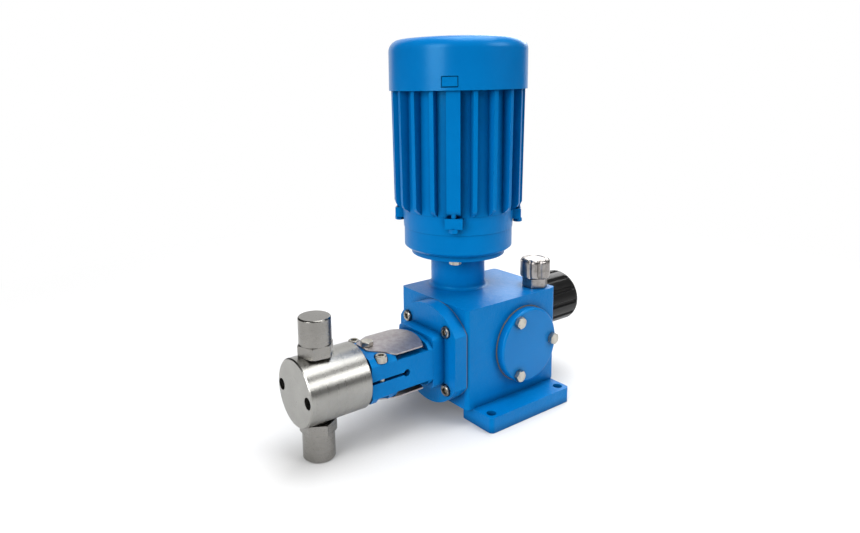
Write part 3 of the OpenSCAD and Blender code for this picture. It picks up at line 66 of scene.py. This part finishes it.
X_AXIS, Z_AXIS = 0, 2


# Places of the pump's axes


def middle(node):
    """Middle of a CAD node's box."""
    low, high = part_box(node)
    return (low + high) / 2


PLUNGER_Y, PLUNGER_Z = middle("pump_head").yz
MOTOR_X, MOTOR_Y = middle("motor_shaft").xy
CRANK_X = middle("side_cover").x
VALVE_X = middle("discharge_valve_body").x
CAP_X, CAP_Y = middle("oil_filler_cap").xy


# Materials


class Value:
    """A number, colour or vector on a material's board that changes over the surface."""

    def __init__(self, board, socket):
        self.board = board
        self.socket = socket

    def _math(self, operation, first, second):
        return self.board.node("Math", {"operation": operation}, {0: first, 1: second})

    def __add__(self, other):
        return self._math("ADD", self, other)

    def __radd__(self, other):
        return self._math("ADD", other, self)

    def __mul__(self, other):
        return self._math("MULTIPLY", self, other)

    def __rmul__(self, other):
        return self._math("MULTIPLY", other, self)


class Board:
    """The node board of one material, or of the world, with its shader ready to be fed."""

    def __init__(self, name, world=False, **constants):
        self.owner = (bpy.data.worlds if world else bpy.data.materials).new(name)
        self.owner.use_nodes = True
        self.tree = self.owner.node_tree
        self.shader = self.tree.nodes["Background" if world else "Principled BSDF"]
        for socket, value in constants.items():
            self.shader.inputs[socket.replace("_", " ")].default_value = value
        self.place = self.node("TexCoord", output="Object")

    def node(self, kind, settings=None, sockets=None, output=0):
        """Adds a node: its settings first, then the values or links of its sockets."""
        made = self.tree.nodes.new("ShaderNode" + kind)
        for key, value in (settings or {}).items():
            setattr(made, key, value)
        for key, value in (sockets or {}).items():
            if isinstance(value, Value):
                self.tree.links.new(value.socket, made.inputs[key])
            else:
                made.inputs[key].default_value = value
        return Value(self, made.outputs[output])

    def feed(self, **sources):
        """Links values to the shader's sockets."""
        for socket, value in sources.items():
            self.tree.links.new(value.socket, self.shader.inputs[socket.replace("_", " ")])

    def noise(self, scale, detail=2.0, rough=0.5, where=None, stretch=None):
        """Clouds from 0 to 1, about scale of them to a metre, drawn out where stretch is below 1."""
        where = where or self.place
        if stretch:
            where = self.node("Mapping", None, {"Vector": where, "Scale": stretch})
        sockets = {"Vector": where, "Scale": scale, "Detail": detail, "Roughness": rough}
        return self.node("TexNoise", None, sockets)

    def blend(self, factor, first, second):
        """Mixes two colours."""
        return self.node("Mix", {"data_type": "RGBA"}, {0: factor, 6: first, 7: second}, output=2)

    def spread(self, value, low, high):
        """Maps a value from low..high to 0..1 and holds it there."""
        return self.node("MapRange", {"clamp": True}, {"Value": value, "From Min": low, "From Max": high})

    def bump(self, height, strength, depth, below=None):
        """Turns a height from 0 to 1 into a normal, on top of another one."""
        sockets = {"Height": height, "Strength": strength, "Distance": depth}
        if below:
            sockets["Normal"] = below
        return self.node("Bump", None, sockets)

    def along(self, axis):
        """Distance along an axis."""
        return self.node("SeparateXYZ", None, {0: self.place}, output=axis)

    def radius(self, axis, centre):
        """Distance from an axis through centre: the length of the offset without its part along the axis."""
        keep = [0.0 if k == axis else 1.0 for k in range(3)]
        start = [-c * k for c, k in zip(centre, keep)]
        flat = self.node("VectorMath", {"operation": "MULTIPLY_ADD"}, {0: self.place, 1: keep, 2: start})
        return self.node("VectorMath", {"operation": "LENGTH"}, {0: flat}, output="Value")

    def painted_shade_mask(self, reach, samples, closed):
        """Mask for painted shade: 1 on an open surface, falling to 0 in corners, where other faces lie
        within reach.
        """
        light = self.node("AmbientOcclusion", {"samples": samples}, {"Distance": reach}, output="AO")
        return self.spread(light, closed, 0.95)

    def seen(self):
        """1 for what the camera sees, also by way of metal or glass, and 0 for what only lights the pump."""
        direct, metal, glass = (self.node("LightPath", output=f"Is {kind} Ray")
                                for kind in ("Camera", "Glossy", "Transmission"))
        larger = self.node("Math", {"operation": "MAXIMUM"}, {0: direct, 1: metal})
        return self.node("Math", {"operation": "MAXIMUM"}, {0: larger, 1: glass})


def linear(red, green, blue):
    """Colour from its usual 0 to 255 values."""
    parts = [c / 255 for c in (red, green, blue)]
    return [c / 12.92 if c <= 0.04045 else ((c + 0.055) / 1.055) ** 2.4 for c in parts] + [1.0]


def grey(level):
    """Grey of a linear level from 0 to 1."""
    return [level] * 3 + [1.0]


def scaled(colour, factor):
    """A colour made darker or lighter."""
    return [c * factor for c in colour[:3]] + [1.0]


def enamel(name, cast, gloss=0.0):
    """Blue enamel: cast is how much of the rough casting shows through it, gloss how smooth its skin is.

    Two blues alternate in clouds and grain, and painted shade darkens them in corners.
    The height adds up the casting's waves, its sand and the grain of the skin.
    """
    board = Board(name, IOR=1.45, Specular_IOR_Level=0.34, Specular_Tint=[0.05, 0.65, 1.0, 1.0],
                  Coat_Weight=0.01 + 0.25 * gloss, Coat_Roughness=0.10 + 0.30 * gloss)
    # corner is the dark blue of painted shade, which the shade mask lays into corners and creases.
    corner, deep, bright = linear(0, 48, 100), linear(0, 104, 175), linear(0, 122, 195)
    clouds = board.noise(38, detail=3)
    grain = board.noise(1500, detail=3, rough=0.6)
    blues = board.blend(clouds * 0.6 + grain * 0.4, deep, bright)
    waves = board.bump(board.noise(70), 0.4 * cast, 0.0010)
    sand = board.bump(board.noise(420, detail=4, rough=0.62), 0.55 * cast, 0.0005, below=waves)
    # Painted shade: ambient occlusion darkens the blue towards corner wherever other faces lie within 8 mm.
    board.feed(Base_Color=board.blend(board.painted_shade_mask(0.008, samples=4, closed=0.30), corner, blues),
               Roughness=board.noise(260, detail=3) * 0.14 + (0.30 - 0.12 * gloss),
               Normal=board.bump(grain, 0.06 + 0.14 * cast, 0.0002, below=sand))
    return board.owner


def turned(name, base, rough, axis, centre):
    """Turned metal: fine rings round an axis, on its rims and on its end faces.

    The pattern reads the distance along the axis plus the distance from it, so both kinds of face get rings.
    """
    board = Board(name, Metallic=1.0)
    track = board.node("CombineXYZ", None, {"X": board.along(axis) + board.radius(axis, centre)})
    fine = board.noise(2600, detail=3, rough=0.6, where=track)
    broad = board.noise(240, detail=3, where=track)
    stain = board.noise(45, detail=4, rough=0.6)
    worn = board.noise(700, rough=0.6)
    board.feed(Base_Color=board.blend(board.spread(stain, 0.35, 0.7), scaled(base, 0.86), base),
               Roughness=fine * 0.22 + broad * 0.12 + worn * 0.08 + (rough - 0.20),
               Normal=board.bump(fine, 0.5, 0.00004, below=board.bump(broad, 0.35, 0.00012)))
    return board.owner


def satin_sheet(name, base, tarnish):
    """Sheet metal with a fine grain rolled along X and a warm tarnish in clouds."""
    board = Board(name, Metallic=1.0)
    grain = board.noise(900, detail=3, rough=0.65, stretch=(0.05, 1, 1))
    smear = board.noise(240, detail=5, rough=0.62)
    board.feed(Base_Color=board.blend(board.spread(smear, 0.35, 0.65), base, tarnish),
               Roughness=grain * 0.16 + smear * 0.16 + 0.28,
               Normal=board.bump(grain, 0.3, 0.00006))
    return board.owner


def plated(name, base, rough, dull=None):
    """Plated or ground steel with light scuffs and a dull film in places."""
    board = Board(name, Metallic=1.0)
    film = board.noise(170, detail=4, rough=0.6)
    scuff = board.noise(2300, rough=0.6)
    board.feed(Base_Color=board.blend(board.spread(film, 0.42, 0.68), base, dull or scaled(base, 0.72)),
               Roughness=film * 0.18 + scuff * 0.10 + (rough - 0.14),
               Normal=board.bump(scuff, 0.25, 0.00006, below=board.bump(film, 0.2, 0.0002)))
    return board.owner


def moulded(name, base, rough):
    """Moulded plastic with a fine grain and greyer worn places."""
    board = Board(name, IOR=1.46, Specular_IOR_Level=0.25)
    grain = board.noise(1300, detail=3, rough=0.6)
    wear = board.noise(90, detail=4, rough=0.6)
    board.feed(Base_Color=board.blend(board.spread(wear, 0.5, 0.8), base, scaled(base, 1.9)),
               Roughness=grain * 0.12 + wear * 0.14 + (rough - 0.13),
               Normal=board.bump(grain, 0.3, 0.0001))
    return board.owner


def pressed_fibre(name, base):
    """Gasket board: short fibres and a dull face."""
    board = Board(name)
    fibre = board.noise(1600, detail=4, rough=0.7, stretch=(1, 0.3, 1))
    board.feed(Base_Color=board.blend(fibre, base, scaled(base, 1.6)),
               Roughness=fibre * 0.1 + 0.75,
               Normal=board.bump(fibre, 0.4, 0.0001))
    return board.owner


BLUE_CAST = enamel("blue_enamel_on_casting", 1.0)
BLUE_SHEET = enamel("blue_enamel_on_sheet", 0.03, gloss=0.5)
BLUE_TURNED = enamel("blue_enamel_on_turned_castings", 0.5)
HEAD_METAL = turned("turned_head", linear(160, 159, 155), 0.29, X_AXIS, (0, PLUNGER_Y, PLUNGER_Z))
VALVE_METAL = turned("turned_valves", linear(146, 144, 140), 0.28, Z_AXIS, (VALVE_X, PLUNGER_Y, 0))
GUARD_METAL = satin_sheet("satin_guard_sheet", linear(178, 173, 173), linear(160, 152, 153))
SCREW_METAL = plated("plated_screws", linear(190, 186, 176), 0.34)
DARK_SCREW_METAL = plated("oiled_socket_screws", linear(168, 164, 156), 0.30, linear(96, 92, 84))
CAP_METAL = plated("bright_cap", linear(160, 156, 154), 0.32, linear(126, 122, 118))
GROUND_METAL = plated("ground_steel", linear(176, 176, 174), 0.28)
POLISHED_METAL = plated("polished_steel", linear(214, 214, 212), 0.20)
BRONZE = plated("machined_bronze", linear(196, 156, 92), 0.32)
BLACK_PLASTIC = moulded("black_plastic", linear(19, 19, 19), 0.36)
FIBRE = pressed_fibre("gasket_fibre", linear(86, 84, 78))

# A node has its slot's finish unless it has one of its own
SLOT_FINISH = {
    "blue_paint": BLUE_CAST, "zinc_steel": SCREW_METAL, "machined_stainless": HEAD_METAL,
    "sheet_stainless": GUARD_METAL, "cap_metal": CAP_METAL, "bearing_steel": POLISHED_METAL,
    "ground_steel": GROUND_METAL, "bronze": BRONZE, "black_plastic": BLACK_PLASTIC, "gasket": FIBRE,
}
NODE_FINISH = {
    "fan_cowl": BLUE_SHEET, "terminal_box_lid": BLUE_SHEET, "side_cover": BLUE_SHEET,
    "motor_frame": BLUE_TURNED, "motor_flange": BLUE_TURNED,
    "drive_end_shield": BLUE_TURNED, "rear_end_shield": BLUE_TURNED,
    "discharge_valve_body": VALVE_METAL, "suction_valve_body": VALVE_METAL, "discharge_cap": VALVE_METAL,
    "lantern_screws": DARK_SCREW_METAL,
}
NODE_SLOT = {row["node"]: row["material_slot"] for row in frame["record"]["subparts"]}
NODE_BODY = {node: body for body, nodes in frame["record"]["behaviour"]["bodies"].items() for node in nodes}


# Pieces


def paint(piece, material):
    """Gives a piece one material, in place of any that it has."""
    piece.data.materials.clear()
    piece.data.materials.append(material)


def finish_of(node):
    """Material of a CAD node."""
    return NODE_FINISH.get(node) or SLOT_FINISH[NODE_SLOT[node]]


def new_piece(name, mesh, material):
    """Puts a mesh into the scene as a piece of one material."""
    piece = bpy.data.objects.new(name, mesh)
    bpy.context.scene.collection.objects.link(piece)
    paint(piece, material)
    return piece


def stand_in(name, node, mesh):
    """A piece in place of a CAD node, with the node's finish and body."""
    piece = new_piece(name, mesh, finish_of(node))
    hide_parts(node)
    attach(piece, NODE_BODY[node])
    return piece


for node, piece in frame["nodes"].items():
    paint(piece, finish_of(node))


# Softened castings


def softened(node, width):
    """A copy of a CAD node whose sharp edges are rounded as on a real casting or a machined part."""
    mesh = frame["nodes"][node].data.copy()
    work = bmesh.new()
    work.from_mesh(mesh)
    bmesh.ops.remove_doubles(work, verts=work.verts, dist=2e-6)
    bmesh.ops.dissolve_degenerate(work, edges=work.edges, dist=2e-6)
    bmesh.ops.dissolve_limit(work, angle_limit=math.radians(0.6), verts=work.verts, edges=work.edges)
    work.to_mesh(mesh)
    work.free()
    mesh.shade_smooth()
    piece = stand_in("soft_" + node, node, mesh)
    bevel = piece.modifiers.new("edges", "BEVEL")
    bevel.width = width
    bevel.segments = 3
    bevel.limit_method = "ANGLE"
    bevel.angle_limit = math.radians(30)
    bevel.use_clamp_overlap = True
    flats = piece.modifiers.new("flats", "WEIGHTED_NORMAL")
    flats.mode = "FACE_AREA_WITH_ANGLE"
    flats.weight = 80


EDGE_WIDTH = {
    "gearbox_housing": 1.0 * MM, "lantern": 0.4 * MM, "motor_flange": 0.7 * MM, "drive_end_shield": 0.6 * MM,
    "motor_frame": 0.6 * MM, "terminal_box": 0.8 * MM, "terminal_box_lid": 1.2 * MM, "side_cover": 0.3 * MM,
    "pump_head": 0.3 * MM, "discharge_valve_body": 0.25 * MM, "discharge_cap": 0.25 * MM,
    "suction_valve_body": 0.25 * MM, "fan_cowl": 0.2 * MM, "rear_end_shield": 0.3 * MM,
    "guard_top": 0.25 * MM, "guard_bottom": 0.25 * MM, "cable_gland": 0.4 * MM, "drain_plug": 0.4 * MM,
}
for node, width in EDGE_WIDTH.items():
    softened(node, width)


# Return spring


def squeezed_spring():
    """A copy of the spring in place of its CAD node, with a mesh of its own."""
    spring = stand_in("squeezed_spring", "return_spring", frame["nodes"]["return_spring"].data.copy())
    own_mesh(spring)


squeezed_spring()


# Surfaces worked out on a grid


def angles(columns):
    """Angles of a ring's points, evenly round the circle."""
    return np.linspace(0, 2 * np.pi, columns, endpoint=False)


def turned_shape(stations, columns):
    """Rings of points round Z, one for each station: (radius cos angle, radius sin angle, height).

    A station is (height, radius), and each of the two is one number or an array over the ring's angles.
    """
    angle = angles(columns)
    height, radius = (np.stack([np.broadcast_to(value, columns) for value in values])
                      for values in zip(*stations))
    return np.stack([radius * np.cos(angle), radius * np.sin(angle), height], axis=-1)


def placed(grid, origin, along):
    """Turns a shape made round Z so that Z points along a direction, and moves it."""
    turn = Vector((0, 0, 1)).rotation_difference(Vector(along)).to_matrix()
    return grid @ np.array(turn).T + np.array(origin)


def grid_piece(name, node, grids):
    """A closed piece in place of a CAD node, from grids of points, each rows by columns by 3.

    A face joins the points at (row, column), (row, column + 1), (row + 1, column + 1) and (row + 1, column),
    and the last column is joined to the first.
    """
    verts, faces, start = [], [], 0
    for grid in grids:
        rows, columns = grid.shape[:2]
        index = start + np.arange(rows * columns).reshape(rows, columns)
        right = np.roll(index, -1, axis=1)
        quads = np.stack([index[:-1], right[:-1], right[1:], index[1:]], axis=-1)
        verts.append(grid.reshape(-1, 3))
        faces.append(quads.reshape(-1, 4))
        start += rows * columns
    mesh = bpy.data.meshes.new(name)
    mesh.from_pydata(np.concatenate(verts).tolist(), [], np.concatenate(faces).tolist())
    work = bmesh.new()
    work.from_mesh(mesh)
    bmesh.ops.remove_doubles(work, verts=work.verts, dist=2e-6)
    bmesh.ops.dissolve_degenerate(work, edges=work.edges, dist=1e-7)
    bmesh.ops.recalc_face_normals(work, faces=work.faces)
    work.to_mesh(mesh)
    work.free()
    mesh.shade_smooth()
    mesh.set_sharp_from_angle(angle=math.radians(32))
    stand_in(name, node, mesh)


# Screws, made with the face under the head at height 0, the head above it and the shank below


def hexagon_radius(angle, flats):
    """Distance from a hexagon's middle to its side: half the flats over the cosine to the nearest flat."""
    nearest = (angle + np.pi / 6) % (np.pi / 3) - np.pi / 6
    return flats / 2 / np.cos(nearest)


def shank_stations(radius, length):
    """Stations of a round shank with a small chamfer at its end."""
    chamfer = 0.4 * MM
    return [(-length, 0), (-length, 0.85 * radius), (chamfer - length, radius), (0, radius)]


def hexagon_screw(flats, head, radius, shank, turn=0.0):
    """Hexagon screw with a washer face, turned by an angle, its corners chamfered at 30 degrees.

    Past the chamfer's circle the top falls by the distance from that circle times the tangent of 30 degrees.
    """
    columns, dish = 72, 0.12 * MM
    circle = 0.95 * flats / 2
    edge = hexagon_radius(angles(columns) + turn, flats)
    fall = np.maximum(edge - circle, 0) * math.tan(math.radians(30))
    return turned_shape(shank_stations(radius, shank) + [
        (0, 0.96 * circle), (0.25 * MM, edge), (0.5 * head, edge), (head - fall, edge),
        (head - fall / 2, (edge + circle) / 2), (head, circle), (head, 0.93 * circle),
        (head - dish, 0.85 * circle), (head - dish, 0)], columns)


def socket_screw(head_radius, head, radius, shank, flats, depth):
    """Socket screw: a knurled round head with a rounded rim, and a hexagon hole with a cone at its bottom.

    The knurl adds a cosine with 40 waves round the head to its radius.
    """
    columns, knurl, waves, cone = 160, 0.10 * MM, 40, 0.9 * MM
    side = head_radius + knurl * np.cos(waves * angles(columns))
    hole = hexagon_radius(angles(columns), flats)
    mouth = np.minimum(1.08 * hole, 0.78 * head_radius)
    return turned_shape(shank_stations(radius, shank) + [
        (0, 0.93 * head_radius), (0.3 * MM, side), (0.3 * head, side), (0.6 * head, side),
        (head - 0.7 * MM, side), (head - 0.55 * MM, 0.985 * head_radius), (head, 0.87 * head_radius),
        (head, 0.80 * head_radius), (head, mouth), (head - 0.25 * MM, hole), (head - depth, hole),
        (head - depth - cone, 0)], columns)


def around(count, radius, first=0.0):
    """Points (radius cos angle, radius sin angle), evenly round a circle from a first angle in degrees."""
    angle = math.radians(first) + angles(count)
    return np.stack([radius * np.cos(angle), radius * np.sin(angle)], axis=-1)


M6_HEXAGON = {"flats": 10 * MM, "head": 4 * MM}
M6_SOCKET = {"head_radius": 5 * MM, "head": 6 * MM, "radius": 3 * MM, "flats": 5 * MM, "depth": 3 * MM}


def cover_bolts():
    """Three hexagon bolts that hold the side cover, on a circle round the crank."""
    circle, seat_y = 30 * MM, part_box("side_cover_bolts")[0].y + M6_HEXAGON["head"]
    grid_piece("cover_bolt_heads", "side_cover_bolts", [
        placed(hexagon_screw(**M6_HEXAGON, radius=3 * MM, shank=14 * MM, turn=0.3 * k),
               (CRANK_X + x, seat_y, PLUNGER_Z + z), (0, -1, 0))
        for k, (x, z) in enumerate(around(3, circle))])


def neck_bolts():
    """Four hexagon bolts that go up through the neck's flange into the motor flange."""
    circle, seat_z = 37.5 * MM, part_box("motor_flange_bolts")[0].z + M6_HEXAGON["head"]
    grid_piece("neck_bolt_heads", "motor_flange_bolts", [
        placed(hexagon_screw(**M6_HEXAGON, radius=3 * MM, shank=13 * MM, turn=0.2 * k),
               (MOTOR_X + x, MOTOR_Y + y, seat_z), (0, 0, -1))
        for k, (x, y) in enumerate(around(4, circle, 45))])


def tie_bolts():
    """Four tie bolts along the motor: a head below, a rod up from it and a nut on top."""
    circle, flats, head, nut = 57.8 * MM, 8 * MM, 3.8 * MM, 4 * MM
    low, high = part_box("tie_bolts")
    head_z, nut_z = low.z + head, high.z - nut
    points = [(MOTOR_X + x, MOTOR_Y + y) for x, y in around(4, circle, 45)]
    rod = nut_z - head_z
    rods = [placed(hexagon_screw(flats, head, 2.5 * MM, rod, 0.3 * k), (*point, head_z), (0, 0, -1))
            for k, point in enumerate(points)]
    nuts = [placed(hexagon_screw(flats, nut, 2 * MM, 0.2 * MM, 0.2 * k), (*point, nut_z), (0, 0, 1))
            for k, point in enumerate(points)]
    grid_piece("tie_bolt_ends", "tie_bolts", rods + nuts)


def guard_bolts():
    """A hexagon bolt through each guard, above and below the lantern."""
    rise, seat_x = 23.2 * MM, middle("guard_screws").x
    grid_piece("guard_bolt_heads", "guard_screws", [
        placed(hexagon_screw(**M6_HEXAGON, radius=2.6 * MM, shank=4.4 * MM, turn=0.35),
               (seat_x, PLUNGER_Y, PLUNGER_Z + side * rise), (0, 0, side))
        for side in (1, -1)])


def flange_screws():
    """Four socket screws in the corners of the lantern's flange."""
    offset, seat_x = 27.3 * MM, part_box("lantern_screws")[0].x + M6_SOCKET["head"]
    grid_piece("flange_screw_heads", "lantern_screws", [
        placed(socket_screw(**M6_SOCKET, shank=17 * MM),
               (seat_x, PLUNGER_Y + y * offset, PLUNGER_Z + z * offset), (-1, 0, 0))
        for y in (-1, 1) for z in (-1, 1)])


def clamp_screws():
    """A socket screw on each side of the lantern's split clamp."""
    offset, seat_x = 21 * MM, middle("clamp_screws").x
    seat_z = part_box("clamp_screws")[1].z - M6_SOCKET["head"]
    grid_piece("clamp_screw_heads", "clamp_screws", [
        placed(socket_screw(**M6_SOCKET, shank=30.6 * MM),
               (seat_x, PLUNGER_Y + y * offset, seat_z), (0, 0, 1))
        for y in (-1, 1)])


cover_bolts()
neck_bolts()
tie_bolts()
guard_bolts()
flange_screws()
clamp_screws()


# Knob and oil cap


def knob_grid(length, radius, wall):
    """Knob round its axis: a drum with a rolled front edge and a dished face, cut by round-ended grooves.

    A groove's depth is (1 - reach ^ 2.6) ^ 0.8 of its full depth. Its reach, in half widths, is the distance
    from the line between the middles of its two round ends.
    """
    columns, grooves, width, depth = 360, 12, 4.6 * MM, 2.0 * MM
    back, roll, dish = 0.8 * MM, 6 * MM, 0.6 * MM
    first, last = 5 * MM + width / 2, length - 5.5 * MM - width / 2
    drum = np.linspace(back, length - roll, 64)
    arc = np.linspace(0, np.pi / 2, 12)[1:]
    height = np.concatenate([
        [0, 0], drum, length - roll + roll * np.sin(arc), [length, length - dish, length - dish]])
    edge = np.concatenate([
        [radius - wall, radius - back], np.full(len(drum), radius), radius - roll + roll * np.cos(arc),
        [radius - roll - 2 * MM, radius - roll - 3 * MM, 0]])
    sector = 2 * np.pi / grooves
    across = ((angles(columns) + sector / 2) % sector - sector / 2) * radius
    beyond = np.maximum(np.maximum(first - height, height - last), 0)
    reach = np.hypot(across, beyond[:, None]) / (width / 2)
    cut = depth * np.clip(1 - reach ** 2.6, 0, 1) ** 0.8 * (edge > radius - roll)[:, None]
    return turned_shape(list(zip(height, edge[:, None] - cut)), columns)


def knob():
    """The stroke knob, hollow at its back, with a bore for the bush that it turns on."""
    low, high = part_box("stroke_knob")
    radius, wall, step, bore = 26 * MM, 3 * MM, 0.4 * MM, 11.1 * MM
    shelf, bottom = 13 * MM, 24.5 * MM
    inside = radius - wall - step
    hollow = turned_shape([(0, radius - wall), (0, inside), (shelf, inside), (shelf, bore), (bottom, bore),
                           (bottom, 0)], 360)
    grid_piece("fluted_knob", "stroke_knob", [
        placed(grid, (low.x, PLUNGER_Y, low.z + radius), (1, 0, 0))
        for grid in (knob_grid(high.x - low.x, radius, wall), hollow)])


def cap_grid():
    """Filler cap round its axis, in millimetres: a plug, a hexagon neck and a drum whose side has flutes.

    A flute's depth goes with the cosine of flutes times the angle, where that is above 0, to the power 0.8.
    It fades in above the drum's lower edge and out below its upper one.
    """
    columns, flutes, depth, flats, corner = 288, 9, 1.6, 22, 12.35
    hexagon = np.minimum(hexagon_radius(angles(columns), flats), corner)
    swing = np.clip(np.cos(flutes * angles(columns)), 0, 1) ** 0.8

    def fluted(height, radius):
        share = np.clip((height - 9.6) / 1.4, 0, 1) * np.clip((28.2 - height) / 1.6, 0, 1)
        return height, radius - depth * share * swing

    plug = [(-6, 0), (-6, 7.8), (0, 7.8)]
    neck = [(0, 10.5), (0.4, hexagon), (8.9, hexagon), (9.5, 10.6)]
    drum = [fluted(*station) for station in (
        (9.5, 12.4), (9.9, 13.4), (10.6, 14.0), (12, 14.2), (16, 14.2), (20, 14.2), (24, 14.2),
        (25.2, 14.1), (26.2, 13.8), (27, 13.2), (27.5, 12.4), (27.8, 11.6))]
    top = [(28, 11), (28, 9.4), (27.5, 8.8), (27.5, 0)]
    return turned_shape(plug + neck + drum + top, columns)


def cap():
    """The oil filler cap, with the foot of its neck on the housing."""
    seat_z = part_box("oil_filler_cap")[1].z - 28 * MM
    grid_piece("oil_cap", "oil_filler_cap", [cap_grid() * MM + np.array([CAP_X, CAP_Y, seat_z])])


knob()
cap()


# Studio


def stage_piece(name, verts, faces, material):
    """A piece of the studio, which isn't part of the pump."""
    mesh = bpy.data.meshes.new(name)
    mesh.from_pydata(verts, [], faces)
    piece = new_piece(name, mesh, material)
    return piece


def floor():
    """A wide pale floor that keeps the pump's shadow, with painted shadow where the pump stands close, and
    is as white as the world further out.
    """
    half, glow = 6.0, 0.10
    board = Board("pale_floor", Specular_IOR_Level=0.0, Roughness=0.8, Emission_Strength=1.0)
    far = board.spread(board.radius(Z_AXIS, (0, 0, 0)), 0.34, 0.80)
    open_floor = board.blend(board.noise(3), grey(0.76), grey(0.78))
    # Painted shadow: the floor turns grey where the pump lies within 7 cm of it, as a contact shadow round
    # the feet.
    pale = board.blend(board.painted_shade_mask(0.07, samples=8, closed=0.25), grey(0.52), open_floor)
    board.feed(Base_Color=board.blend(far, pale, grey(0)),
               Emission_Color=board.blend(board.seen(), grey(0), board.blend(far, grey(glow), grey(1))))
    corners = [(x * half, y * half, 0) for x, y in ((-1, -1), (1, -1), (1, 1), (-1, 1))]
    stage_piece("floor", corners, [(0, 1, 2, 3)], board.owner)


def dark_room():
    """The dark side of the studio, behind the camera, which metal shows between the lamps.

    It is a round wall, (radius cos angle, radius sin angle) at two heights, and a ceiling fanned out from
    its middle.
    """
    facing, half_turn, radius, low, high, columns = 232, 138, 2.6, 0.02, 2.2, 33
    board = Board("dark_room", Specular_IOR_Level=0.0, Roughness=0.9)
    board.feed(Base_Color=board.blend(board.noise(2), grey(0.05), grey(0.07)))
    angle = np.radians(np.linspace(facing - half_turn, facing + half_turn, columns))
    rims = [np.stack([radius * np.cos(angle), radius * np.sin(angle), np.full(columns, height)], axis=-1)
            for height in (low, high)]
    verts = np.concatenate([*rims, [(0, 0, high)]]).tolist()
    foot = np.arange(columns - 1)
    top, hub = columns + foot, np.full(columns - 1, 2 * columns)
    wall = np.stack([foot, foot + 1, top + 1, top], axis=-1).tolist()
    ceiling = np.stack([top, top + 1, hub], axis=-1).tolist()
    room = stage_piece("dark_room", verts, wall + ceiling, board.owner)
    room.visible_camera = room.visible_diffuse = room.visible_shadow = False


def world():
    """White where the camera sees it, directly or in metal, and a dim even light on the pump."""
    board = Board("studio", world=True)
    board.feed(Color=board.blend(board.seen(), grey(0.28), grey(1)))
    bpy.context.scene.world = board.owner


def softbox(name, place, size, power):
    """A rectangular lamp that points at the pump's middle."""
    aim = Vector((-0.03, 0.0, 0.15))
    lamp = bpy.data.lights.new(name, "AREA")
    lamp.shape = "RECTANGLE"
    lamp.size, lamp.size_y = size
    lamp.energy = power
    piece = bpy.data.objects.new(name, lamp)
    piece.location = place
    piece.rotation_euler = (aim - Vector(place)).to_track_quat("-Z", "Y").to_euler()
    bpy.context.scene.collection.objects.link(piece)


def camera():
    """The photograph's camera, from its fit: the focal length and the shifts are in pixels of its width."""
    width, focal, shift_x, shift_y = 860, 658.9, 47.38, -75
    azimuth, elevation, roll = (math.radians(degrees) for degrees in (-34.90, 9.44, -1.147))
    data = bpy.data.cameras.new("camera")
    data.sensor_width = 36
    data.lens = focal / width * data.sensor_width
    data.shift_x, data.shift_y = shift_x / width, shift_y / width
    level = Vector((math.cos(azimuth), math.sin(azimuth), 0))
    forward = Vector((-math.sin(azimuth) * math.cos(elevation), math.cos(azimuth) * math.cos(elevation),
                      -math.sin(elevation)))
    upright = level.cross(forward)
    right = math.cos(roll) * level + math.sin(roll) * upright
    up = math.cos(roll) * upright - math.sin(roll) * level
    piece = bpy.data.objects.new("camera", data)
    piece.matrix_world = Matrix((right, up, -forward)).transposed().to_4x4()
    piece.location = (-0.43354, -0.45915, 0.30792)
    bpy.context.scene.collection.objects.link(piece)
    bpy.context.scene.camera = piece


floor()
dark_room()
world()
softbox("top_light", (0.25, -0.10, 1.55), (1.1, 1.0), 19)
softbox("left_light", (-1.5, -0.35, 0.75), (0.8, 1.1), 20)
softbox("right_light", (0.75, -1.3, 1.0), (0.9, 0.6), 10)
softbox("back_light", (1.35, 0.75, 1.0), (1.0, 0.8), 12)
camera()
bpy.context.scene.view_settings.view_transform = "Standard"
